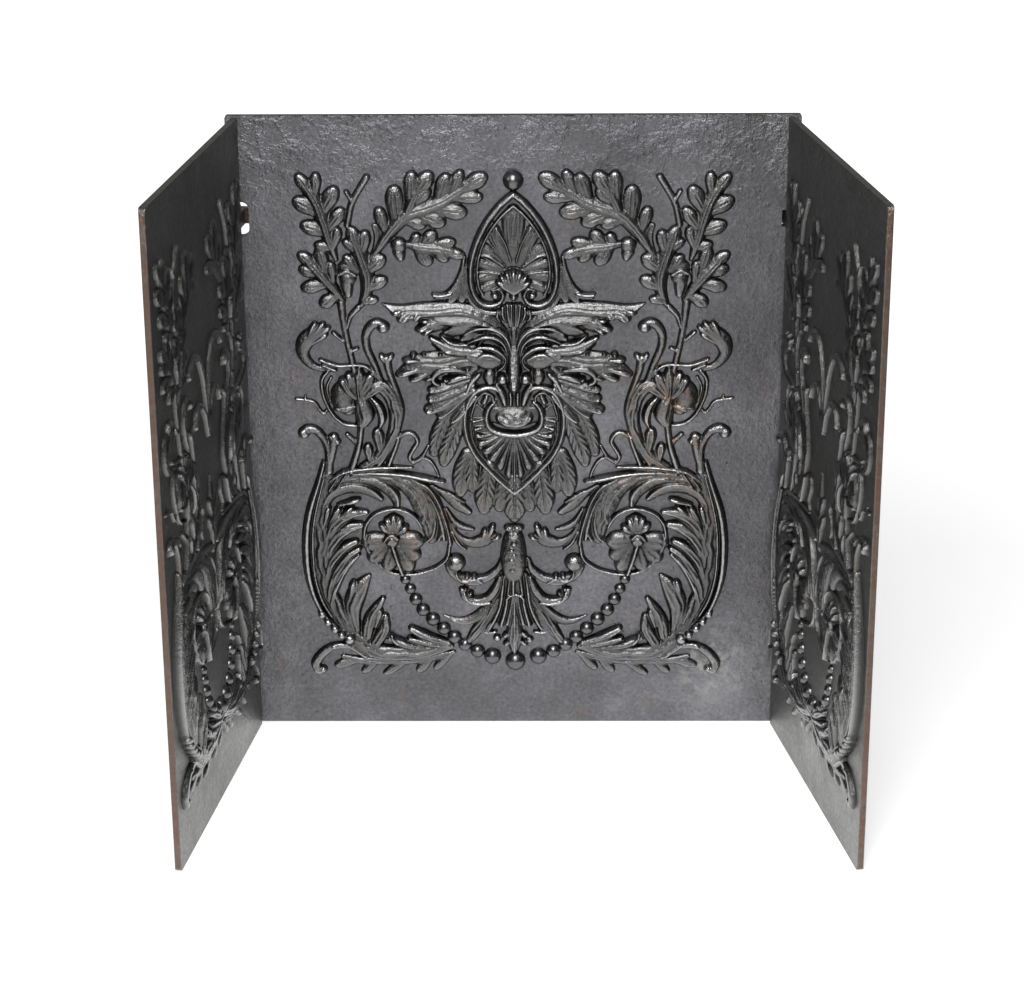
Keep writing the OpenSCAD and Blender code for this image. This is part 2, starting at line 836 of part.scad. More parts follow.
module cheek_rosette(side, end) {
    color(cheek_relief_colour)
        cheek_end(side, end)
            beside() {
                moved_in()
                    rosette_motif();
                swag(cheek_swag_beads);
            }
}

module cheek_foot_leaf(side, end) {
    color(cheek_relief_colour)
        cheek_end(side, end)
            beside() {
                moved_in()
                    foot_motif();
                moved_in()
                    scroll_motif_short();
                swag(cheek_swag_beads);
            }
}

module cheek_bead_swag(side) {
    color(cheek_relief_colour)
        on_cheek(side)
            swag(cheek_swag_beads);
}

module cheek_tendrils(side) {
    color(cheek_relief_colour)
        on_cheek(side)
            beside() {
                tendrils_motif();
                both_halves()
                    moved_in() {
                        oak_motif_short();
                        vine_motif();
                        scroll_motif_short();
                    }
            }
}

back_plate();
crest();
finial_ball();
mask();
beard_frame();
beard_leaves();
pendant();
bead_swag();
for (side = SIDES) {
    back_oak_branch(side);
    back_vine(side);
    back_scroll(side);
    back_rosette(side);
    back_foot_leaf(side);
    back_mask_leaves(side);
    cheek_bead_swag(side);
    cheek_tendrils(side);
    for (end = ENDS) {
        name = str(side, "_cheek_", end, "_");
        cheek_oak_branch(side, end);
        cheek_vine(side, end);
        cheek_scroll(side, end);
        cheek_rosette(side, end);
        cheek_foot_leaf(side, end);
    }
}
left_cheek_plate();
right_cheek_plate();
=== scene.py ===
"""A three-panel cast iron fireback in a white studio. The plates and the strings of beads
are the CAD frame's own. Each ornament is a height map, laid form by form from lists in the
millimetres of the ornament drawing, that takes the place of the CAD node of its name."""
import math

import bpy
import numpy as np
from mathutils import Matrix, Vector
from mathutils.geometry import delaunay_2d_cdt


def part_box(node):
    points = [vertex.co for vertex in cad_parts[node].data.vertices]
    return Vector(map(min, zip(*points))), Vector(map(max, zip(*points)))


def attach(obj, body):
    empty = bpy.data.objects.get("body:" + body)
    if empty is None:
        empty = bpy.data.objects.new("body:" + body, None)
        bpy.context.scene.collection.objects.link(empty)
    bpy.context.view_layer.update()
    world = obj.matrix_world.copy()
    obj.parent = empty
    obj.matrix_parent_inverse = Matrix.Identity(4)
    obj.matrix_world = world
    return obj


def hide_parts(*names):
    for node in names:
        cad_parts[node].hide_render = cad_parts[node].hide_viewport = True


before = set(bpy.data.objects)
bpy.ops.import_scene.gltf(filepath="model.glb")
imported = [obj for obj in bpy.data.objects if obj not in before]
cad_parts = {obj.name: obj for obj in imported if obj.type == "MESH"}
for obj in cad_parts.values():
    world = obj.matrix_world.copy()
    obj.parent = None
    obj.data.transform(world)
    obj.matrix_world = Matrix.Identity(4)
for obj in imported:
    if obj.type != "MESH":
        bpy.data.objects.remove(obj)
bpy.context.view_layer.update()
SCENE = bpy.context.scene
SCENE.view_settings.view_transform = "Standard"
MM = 0.001


# ------------------------------------------------------------------ camera
SENSOR, LENS = 36.0, 97.66  # mm
SHIFT = (0.00017, -0.00286)
CAMERA_PLACE = (0.0295, -2.8744, 1.4211)
PITCH, YAW, ROLL = 0.3759666, -0.0113764, -0.0055020  # radians


def linked(name, data):
    """A new object in the scene that holds the data."""
    thing = bpy.data.objects.new(name, data)
    SCENE.collection.objects.link(thing)
    return thing


def set_camera():
    data = bpy.data.cameras.new("camera")
    data.sensor_width, data.lens = SENSOR, LENS
    data.shift_x, data.shift_y = SHIFT
    camera = linked("camera", data)
    camera.matrix_world = (Matrix.Translation(CAMERA_PLACE)
                           @ Matrix.Rotation(-YAW, 4, "Z")
                           @ Matrix.Rotation(math.pi / 2 - PITCH, 4, "X")
                           @ Matrix.Rotation(ROLL, 4, "Z"))
    SCENE.camera = camera


# ------------------------------------------------------------------ shader helpers
def new_material(name):
    """A material whose node tree is empty, and the tree."""
    material = bpy.data.materials.new(name)
    material.use_nodes = True
    material.node_tree.nodes.clear()
    return material, material.node_tree


def add(tree, kind, sockets=None, **settings):
    """A shader node with its settings. Each socket given, by name or number, is linked to
    another node's output or set to a plain value."""
    node = tree.nodes.new(kind)
    for key, value in settings.items():
        setattr(node, key, value)
    for key, value in (sockets or {}).items():
        if isinstance(value, bpy.types.NodeSocket):
            tree.links.new(value, node.inputs[key])
        else:
            node.inputs[key].default_value = value
    return node


def combine(tree, operation, *values):
    """A math node on outputs or plain numbers."""
    return add(tree, "ShaderNodeMath", dict(enumerate(values)), operation=operation).outputs[0]


def ranged(tree, value, low, high, to_low=0.0, to_high=1.0):
    """The value, taken from one range to another and held at its ends."""
    return add(tree, "ShaderNodeMapRange", {
        "Value": value, "From Min": low, "From Max": high, "To Min": to_low,
        "To Max": to_high}).outputs["Result"]


def grey(value):
    return (value, value, value, 1.0)


# ------------------------------------------------------------------ studio
PAPER = 0.86  # how white the floor itself is
FLOOR_HALF = 14.0  # m from its middle to an edge
FLOOR_DROP = 0.0005  # m that it lies under the foot
CAMERA_GLOW = (0.8, 3.0, 0.5, 1.0)  # near and far in m, and the glow at each
# Near and far in m and the glow at each, seen only in the iron's reflections: a painted reflection
# of the floor, brightest near the object.
IRON_GLOW = (0.3, 1.5, 0.8, 0.05)
AIR, ROOM, WHITE = 0.3, 0.3, 1.0  # how bright the world is for matt, for shine, for the eye
AIM = (0, 0, 0.35)  # where all lamps point
LAMPS = (("key", (-0.15, -1.9, 2.1), (1.3, 1.5), 62),  # place, size in m, watts
         ("front", (-0.3, -3.3, 1.45), (1.5, 1.0), 15),
         ("side", (-2.4, -1.6, 1.5), (0.7, 1.2), 12))


def floor_material():
    """White paper that keeps the shadow. To the camera its far parts glow up to a clean
    white, and in reflections on the iron it glows brightest near the object: a painted
    reflection."""
    material, tree = new_material("studio_floor")
    path = add(tree, "ShaderNodeLightPath").outputs
    place = add(tree, "ShaderNodeTexCoord").outputs["Object"]
    away = add(tree, "ShaderNodeVectorMath", {0: place}, operation="LENGTH").outputs["Value"]
    for_camera = combine(tree, "MULTIPLY", ranged(tree, away, *CAMERA_GLOW),
                         path["Is Camera Ray"])
    for_iron = combine(tree, "MULTIPLY", ranged(tree, away, *IRON_GLOW),
                       path["Is Glossy Ray"])
    paper = add(tree, "ShaderNodeBsdfDiffuse", {"Color": grey(PAPER)})
    light = add(tree, "ShaderNodeEmission", {
        "Color": grey(1), "Strength": combine(tree, "ADD", for_camera, for_iron)})
    surface = add(tree, "ShaderNodeAddShader", {0: paper.outputs[0], 1: light.outputs[0]})
    add(tree, "ShaderNodeOutputMaterial", {"Surface": surface.outputs[0]})
    return material


def set_floor():
    r = FLOOR_HALF
    mesh = bpy.data.meshes.new("floor")
    mesh.from_pydata([(-r, -r, 0), (r, -r, 0), (r, r, 0), (-r, r, 0)], [], [(0, 1, 2, 3)])
    mesh.materials.append(floor_material())
    floor = linked("floor", mesh)
    floor.location.z = -FLOOR_DROP


def set_world():
    """White behind the camera's rays, soft light for matt things, a dim room for shine."""
    world = bpy.data.worlds.new("studio")
    world.use_nodes = True
    tree = world.node_tree
    tree.nodes.clear()
    path = add(tree, "ShaderNodeLightPath").outputs
    air, room, white = (
        add(tree, "ShaderNodeBackground", {"Color": grey(1), "Strength": strength}).outputs[0]
        for strength in (AIR, ROOM, WHITE))
    for_shine = add(tree, "ShaderNodeMixShader", {0: path["Is Glossy Ray"], 1: air, 2: room})
    for_camera = add(tree, "ShaderNodeMixShader", {
        0: path["Is Camera Ray"], 1: for_shine.outputs[0], 2: white})
    add(tree, "ShaderNodeOutputWorld", {"Surface": for_camera.outputs[0]})
    SCENE.world = world


def set_lamps():
    for name, place, size, power in LAMPS:
        data = bpy.data.lights.new(name, "AREA")
        data.shape = "RECTANGLE"
        data.size, data.size_y = size
        data.energy = power
        lamp = linked(name, data)
        lamp.location = place
        toward = Vector(AIM) - Vector(place)
        lamp.rotation_euler = toward.to_track_quat("-Z", "Y").to_euler()


# ------------------------------------------------------------------ relief tools
GRID = 0.8  # mm between the points of a height map
SUNK = -2.0  # mm, how deep a relief's underside lies inside its plate
FALL = 2.2  # how steeply an edge runs on down into the plate
STEEP = 2.6  # the steepest that a form rises from its outline
EDGE = 0.6  # mm in from its outline over which a lifted form's wall rises
THIN = 0.6  # mm, the least half width of a stroke
OUTSIDE = -9.0  # mm, how far outside a form a point counts at most
MARGIN = 2  # mm round a ball in which its edge runs down
TINY = 1e-9  # keeps a piece of no length from dividing by zero


class Relief:
    """A height map in millimetres over a window of the ornament drawing. 0 is the face of
    the plate. Forms are laid on it one by one, and where two meet the higher one shows."""

    def __init__(self, x0, x1, z0, z1, step=GRID):
        self.step = step
        self.xs = np.arange(round(x0 / step), round(x1 / step) + 1) * step
        self.zs = np.arange(round(z0 / step), round(z1 / step) + 1) * step
        self.x, self.z = np.meshgrid(self.xs, self.zs, indexing="ij")
        self.h = np.full(self.x.shape, SUNK)

    def window(self, x0, x1, z0, z1):
        """The part of the grid between the limits, as a pair of slices."""
        i = np.searchsorted(self.xs, (x0, x1))
        j = np.searchsorted(self.zs, (z0, z1))
        return slice(*i), slice(*j)


def dome(q, s):
    """Half a circle over q, the place across from -1 to 1. s is the place along in mm."""
    return np.sqrt(np.clip(1 - q * q, 0, 1))


def plump(q, s):
    """A dome with a fuller, flatter top."""
    return np.clip(1 - np.abs(q) ** 3, 0, 1) ** 0.5


def swell(q, s):
    """Between a dome and a plump form."""
    return np.clip(1 - np.abs(q) ** 2.4, 0, 1) ** 0.6


def keel(q, s):
    """Two flanks that meet in a soft ridge."""
    return 0.6 * (1 - np.abs(q)) ** 0.9 + 0.4 * dome(q, s)


def folded(q, s):
    """A keel with a fine groove along its ridge, as of a leaf folded at its midrib."""
    return keel(q, s) * (1 - 0.3 * np.exp(-(q / 0.09) ** 2))


def veined(q, s):
    """A swelling with a fine crease down the middle and two fainter ones beside it."""
    side = np.exp(-((np.abs(q) - 0.42) / 0.1) ** 2)
    return dome(q, s) * (1 - 0.2 * np.exp(-(q / 0.1) ** 2) - 0.08 * side)


def feathered(q, s):
    """A leaf with a creased midrib and fine veins that part from it and run to the tip."""
    veins = np.cos(2 * np.pi * (s / 9.0 - 2.2 * np.abs(q))) * np.clip(4 * np.abs(q), 0, 1)
    rib = np.exp(-(q / 0.1) ** 2)
    return dome(q, s) ** 0.8 * (0.9 + 0.07 * veins - 0.16 * rib)


def ribbed(q, s):
    """A plump form with a thin raised rib down the middle and a hollow to each side."""
    return plump(q, s) * (0.78 + 0.22 * np.cos(np.pi * 2 * np.abs(q)) ** 2)


def hollow(q, s):
    """A trough between two rounded rims."""
    return plump(q, s) * (0.45 + 0.55 * np.abs(q) ** 2)


def turned(q, s):
    """High along the left edge as one follows the line, and falling away to the right."""
    return plump(q, s) * (0.45 + 0.55 * ((q + 1) / 2) ** 1.4)


def turned_back(q, s):
    """High along the right edge as one follows the line, and falling away to the left."""
    return turned(-q, s)


def leafy(q, s):
    """Turned, with three fine wandering veins."""
    return turned(q, s) * (1 - 0.1 * np.cos(7 * q + np.sin(s / 9.0)) ** 8)


def knobbly(q, s):
    """Turned, with low round knobs all over, some 5 mm apart."""
    knobs = np.sin(s / 1.6 + 2 * np.sin(3 * q)) * np.cos(6 * q + np.sin(s / 3))
    return turned(q, s) * (1 - 0.05 * (1 + knobs))


def bridge(q, s):
    """A flat topped ridge that starts low and comes forward along its line."""
    return plump(q, s) * (0.24 + 0.76 * np.clip((s - 18) / 56, 0, 1))


def fluted(count, depth=0.4):
    """The section of a form whose face is cut into round ribs side by side. The cuts
    wander a little to the sides and fade in and out along the form, as a carver's do."""
    def section(q, s):
        wander = 0.12 * np.sin(s / 7.0) + 0.06 * np.sin(s / 2.9 + 1)
        fade = depth * (0.7 + 0.3 * np.sin(s / 5.3 + 4 * q))
        rib = np.abs(np.sin(np.pi * count * (q + 1 + wander * (1 - q * q)) / 2)) ** 0.7
        return swell(q, s) * (1 - fade + fade * rib)
    return section


def smooth(points, per=5):
    """A Catmull-Rom curve through the points, column by column, so that the half widths
    run as smoothly as the places do."""
    p = np.array(points, float)
    p = np.vstack([2 * p[0] - p[1], p, 2 * p[-1] - p[-2]])
    t = np.arange(per)[:, None] / per
    parts = [b + t / 2 * (c - a + t * (2 * a - 5 * b + 4 * c - d + t * (3 * (b - c) + d - a)))
             for a, b, c, d in zip(p[:-3], p[1:-2], p[2:-1], p[3:])]
    path = np.vstack(parts + [p[-2]])
    path[:, 2] = np.maximum(path[:, 2], THIN)
    return path


def lay(relief, win, inside, height, lift):
    """Keeps the higher of the map and a new form, which rises no steeper than STEEP over
    the height it is lifted to. Outside its outline the form runs on down, so that it meets
    the plate in a clean line."""
    base = lift * np.clip(inside / EDGE, 0, 1)
    value = np.where(inside > 0, base + np.minimum(height, STEEP * inside), FALL * inside)
    relief.h[win] = np.maximum(relief.h[win], value)


def stroke(relief, points, rise, section=dome, lift=0.0, taper=0.6):
    """A form that follows a curve of x, z and half width. For each grid point near it,
    the piece of the curve whose outline holds the point deepest gives its place along
    and across. Height = lift + rise * (half width / widest) ** taper * section(across)."""
    path = smooth(points)
    widest = path[:, 2].max()
    reach = widest + 2 * relief.step
    win = relief.window(path[:, 0].min() - reach, path[:, 0].max() + reach,
                        path[:, 1].min() - reach, path[:, 1].max() + reach)
    x, z = relief.x[win], relief.z[win]
    inside = np.full(x.shape, OUTSIDE)
    across, along, width = np.zeros(x.shape), np.zeros(x.shape), np.ones(x.shape)
    start = 0.0
    for a, b in zip(path[:-1], path[1:]):
        dx, dz, dw = b - a
        t = np.clip(((x - a[0]) * dx + (z - a[1]) * dz) / (dx * dx + dz * dz + TINY), 0, 1)
        ex, ez = x - a[0] - t * dx, z - a[1] - t * dz
        far = np.hypot(ex, ez)
        w = a[2] + t * dw
        deeper = w - far > inside
        inside = np.where(deeper, w - far, inside)
        across = np.where(deeper, np.where(dx * ez - dz * ex < 0, -far, far) / w, across)
        length = math.hypot(dx, dz)
        along = np.where(deeper, start + t * length, along)
        width = np.where(deeper, w, width)
        start += length
    share = (width / widest) ** taper
    lay(relief, win, inside, rise * share * section(np.clip(across, -1, 1), along), lift)


def strokes(relief, several, rise, section=dome, lift=0.0, taper=0.6):
    """Several forms of one height and section."""
    for points in several:
        stroke(relief, points, rise, section, lift, taper)


PETAL_MARKS = ((0, 0.7), (0.35, 0.9), (0.7, 1.06), (0.93, 0.8))


def petals(relief, several, rise, section=veined, lift=0.0):
    """Lobes given as root x, z, tip x, z and half width: a little narrower at the root,
    fullest at seven tenths of the length and round at the tip."""
    for x0, z0, x1, z1, w in several:
        points = [(x0 + t * (x1 - x0), z0 + t * (z1 - z0), w * share)
                  for t, share in PETAL_MARKS]
        stroke(relief, points, rise, section, lift, 0.5)


def balls(relief, several, lift=0.0):
    """Round bosses given as x, z, radius and height."""
    for x, z, r, rise in several:
        reach = r + MARGIN
        win = relief.window(x - reach, x + reach, z - reach, z + reach)
        far = np.hypot(relief.x[win] - x, relief.z[win] - z)
        lay(relief, win, r - far, rise * dome(np.clip(far / r, 0, 1), 0), lift)


def mirrored(points):
    """The points of a form on the other side of the middle line."""
    return [(-p[0], *p[1:]) for p in points]


def both(several):
    """The forms of the left half and the same forms on the right."""
    return several + [mirrored(points) for points in several]


def both_lobes(several):
    """The same for petals."""
    return several + [(-x0, z0, -x1, z1, w) for x0, z0, x1, z1, w in several]


WAVES = (5.0, 6.3, 7.9, 9.5, 11.3, 13.7)  # mm
FULL_WAVE = 14  # mm long, a wave that has the full depth
CALM, ROUGH = 0.6, 4  # mm over the plate where waves start, and mm over which they grow


def uneven(relief, depth, seed):
    """The hand of the carver and the pull of the sand: waves of 5 to 14 mm in random
    directions, summed and added to whatever stands well above the plate."""
    rng = np.random.default_rng(seed)
    waves = np.zeros(relief.x.shape)
    for length in WAVES:
        for _ in range(2):
            turn, phase = rng.uniform(0, 2 * np.pi, 2)
            travel = relief.x * math.cos(turn) + relief.z * math.sin(turn)
            waves += length / FULL_WAVE * np.sin(2 * np.pi * travel / length + phase)
    relief.h += depth * waves * np.clip((relief.h - CALM) / ROUGH, 0, 1)


# ------------------------------------------------------------------ motifs, left half
def oak(relief, whole=True):
    """Two lobed leaves on the left, one in the middle and, whole, an arm to the right."""
    strokes(relief, [
        [(-191, 554, 3), (-197, 572, 7), (-204, 598, 9), (-211, 618, 9), (-221, 635, 7),
         (-227, 644, 5)],
        [(-185, 508, 4), (-194, 520, 7), (-207, 536, 9), (-218, 548, 8), (-226, 556, 5)],
        [(-165, 503, 4), (-159, 518, 7), (-158, 535, 9), (-163, 553, 10), (-168, 568, 9),
         (-171, 578, 6)],
    ], 8, folded)
    petals(relief, [
        (-214, 626, -229, 646, 7.4), (-208, 606, -231, 619, 9.4), (-201, 584, -224, 592, 8.8),
        (-196, 567, -211, 570, 6.4), (-212, 624, -210, 648, 6.6), (-205, 606, -191, 631, 9.2),
        (-199, 588, -184, 608, 8.2), (-194, 568, -188, 587, 6.4), (-213, 548, -229, 559, 7.4),
        (-209, 538, -228, 543, 7.6), (-202, 527, -226, 522, 8), (-193, 513, -206, 504, 8),
        (-203, 542, -209, 564, 8), (-195, 530, -197, 550, 6), (-167, 564, -174, 587, 8.2),
        (-164, 560, -159, 583, 7.8), (-164, 562, -181, 574, 6.4), (-158, 542, -142, 555, 8.8),
        (-159, 522, -140, 531, 8), (-163, 506, -149, 509, 5.6), (-170, 542, -180, 556, 7),
    ], 6.4)
    strokes(relief, [
        [(-168, 398, 3.6), (-175, 430, 4), (-181, 460, 4), (-185, 485, 4.2), (-187, 505, 5)],
        [(-181, 478, 3), (-177, 490, 3.4), (-168, 500, 4)],
        [(-186, 462, 2.6), (-196, 471, 3)], [(-180, 449, 2.4), (-171, 453, 3)],
        [(-178, 592, 4), (-173, 615, 4), (-164, 632, 4), (-156, 645, 4.2)],
        [(-172, 618, 3), (-178, 629, 3.2)],
    ], 5)
    balls(relief, [(-179, 534, 10, 8), (-180, 543, 10.5, 6.4)])
    strokes(relief, [[(-189, 538, 1.8), (-180, 542, 2), (-170, 537, 1.8)]], 1.6, lift=7)
    strokes(relief, [[(-180, 528, 8), (-179, 515, 5)]], 7.6, plump)
    strokes(relief, [[(-149, 591, 3.4), (-145, 582, 5), (-147, 570, 4), (-152, 558, 2.6)]], 5.6,
            hollow)
    if not whole:
        strokes(relief, [[(-161, 548, 4), (-148, 564, 6), (-132, 582, 8), (-116, 592, 5)]],
                7, folded)
        petals(relief, [(-137, 584, -145, 610, 7.4), (-126, 592, -127, 630, 10),
                        (-116, 598, -104, 620, 9), (-120, 588, -96, 590, 8)], 6)
        return
    strokes(relief, [
        [(-161, 548, 4), (-148, 562, 4.4), (-135, 582, 8), (-116, 603, 10), (-94, 611, 10),
         (-76, 618, 9), (-58, 629, 7), (-42, 640, 5)],
        [(-118, 572, 3), (-102, 568, 7), (-84, 566, 8), (-66, 563, 6)],
    ], 8, folded)
    petals(relief, [
        (-137, 586, -144, 609, 7.6), (-125, 598, -127, 631, 10.4), (-80, 620, -71, 645, 9),
        (-66, 628, -56, 650, 7), (-54, 632, -32, 645, 9.4), (-60, 622, -36, 623, 7.6),
        (-80, 609, -54, 606, 9.4), (-97, 602, -77, 595, 9), (-113, 596, -97, 592, 7),
        (-96, 574, -86, 582, 7.6), (-108, 574, -103, 580, 6), (-86, 570, -65, 573, 7.2),
        (-76, 564, -55, 558, 6.6), (-86, 566, -73, 554, 7), (-104, 570, -92, 551, 9),
    ], 6.2)
    strokes(relief, [[(-116, 602, 4), (-108, 618, 8), (-101, 634, 6)]], 7, folded, lift=2)
    petals(relief, [
        (-110, 618, -108, 648, 8.2), (-104, 626, -90, 647, 9.2), (-106, 618, -92, 630, 8),
    ], 6.2, lift=1.6)
    balls(relief, [(-123, 570, 9.4, 8.4)])
    strokes(relief, [[(-123, 562, 7.6), (-121.5, 556, 5)]], 8, dome)


def vine(relief, whole=True):
    """The flower beside the oak stem, with the leaf round it and its curling tendrils."""
    strokes(relief, [
        [(-169, 394, 4), (-157, 407, 7.6), (-144, 408, 9), (-134, 396, 9), (-130, 378, 8.4),
         (-132, 360, 7.4), (-139, 343, 6.4), (-152, 326, 6.4), (-168, 314, 6)],
    ], 8, fluted(3, 0.3))
    strokes(relief, [
        [(-150, 318, 4), (-136, 340, 4), (-128, 360, 4), (-124, 382, 4.2), (-129, 404, 4),
         (-136, 424, 4.4), (-139, 441, 5.6)],
        [(-145, 414, 3.8), (-153, 436, 4.4), (-160, 453, 4.8), (-161, 468, 5.2), (-156, 478, 5.8),
         (-149, 482, 6.2), (-143, 480, 6.4)],
        [(-200, 429, 3.4), (-212, 430, 4), (-223, 436, 5.4), (-230, 448, 7.4), (-227, 461, 10),
         (-217, 470, 9.4), (-208, 475, 6)],
        [(-168, 366, 4), (-171, 344, 4.2), (-175, 328, 4.4), (-181, 310, 4.8)],
        [(-206, 310, 5.6), (-205, 330, 5), (-209, 346, 5), (-217, 357, 5.6), (-226, 360, 6),
         (-232, 357, 6)], [(-204, 322, 5), (-201, 338, 6), (-199, 350, 6)],
        [(-139, 318, 3.8), (-132, 337, 3.8), (-128, 349, 3.6)],
    ], 6.4)
    balls(relief, [
        (-142, 477.6, 7.8, 9), (-232, 355, 7.2, 8.4), (-195, 345, 4.4, 6.6), (-202, 350, 4.4, 6.4),
    ])
    strokes(relief, [
        [(-211, 440, 3), (-201, 436, 2.8), (-190, 433, 2.6), (-177, 434, 2.6), (-164, 433, 2.6),
         (-154, 426, 2.8), (-146, 414, 2.8)], [(-209, 434, 2.4), (-195, 428, 2.6)],
        [(-203, 428, 3), (-210, 418, 2.8), (-210, 404, 2.8), (-206, 390, 2.8), (-198, 375, 2.8),
         (-187, 366, 2.8), (-174, 363.5, 2.8)], [(-200, 420, 2), (-205, 408, 2), (-202, 392, 2)],
    ], 5)
    strokes(relief, [
        [(-239, 395, 2.2), (-229, 394, 2.4), (-219, 391, 2.2), (-214, 383, 2.2), (-209, 378, 2.4),
         (-206, 382, 2)], [(-229, 395, 1.8), (-229, 399, 1.4)],
        [(-132, 343, 3), (-126, 351, 3.2), (-117, 355, 3.2), (-110, 352, 3.2), (-107, 344, 3),
         (-112, 335, 3), (-116, 326, 2.8), (-112, 319, 2.6)], [(-184, 353, 3.2), (-173, 342, 3.8)],
    ], 4.2)
    if whole:
        strokes(relief, [
            [(-110, 321, 3), (-102, 327, 2.8), (-95, 340, 1.8)],
            [(-101, 326, 2.6), (-93, 322, 2.4), (-87, 312, 2.2), (-84, 303, 2)],
        ], 3.8)
    strokes(relief, [[(-184, 412, 8), (-188, 402, 13), (-188, 393, 13), (-182, 384, 9)]], 9, dome)
    strokes(relief, [
        [(-175, 398, 5), (-182, 407, 7), (-187, 416, 6)],
        [(-175, 388, 4), (-185, 384, 5.4), (-195, 384, 4)],
    ], 10.4, veined)
    petals(relief, [
        (-174, 402, -181, 424, 6.4), (-171, 403, -169, 427, 7.4), (-167, 402, -156, 422, 7.6),
        (-163, 398, -147, 411, 7),
    ], 9, fluted(2, 0.2))
    strokes(relief, [[(-170, 398, 7), (-166, 387, 11.4), (-164, 377, 11.4), (-167, 368, 8)]], 10.4,
            fluted(3, 0.14))
    strokes(relief, [[(-156, 396, 3.6), (-148, 386, 5.4), (-145, 373, 5.4), (-148, 362, 3)]], 9.8,
            veined)
    strokes(relief, [[(-169, 430, 3.6), (-171, 412, 3.8), (-170, 398, 4)]], 10.4)
    petals(relief, [
        (-148, 336, -151, 358, 7), (-160, 324, -162, 341, 5.6), (-226, 462, -215, 483, 4.4),
        (-222, 464, -206, 483, 4.2), (-218, 465, -200, 478, 4.2), (-219, 459, -203, 470, 3.8),
        (-140, 436, -145, 446, 4), (-138, 438, -133, 446, 4),
    ], 7.4, fluted(2, 0.3))


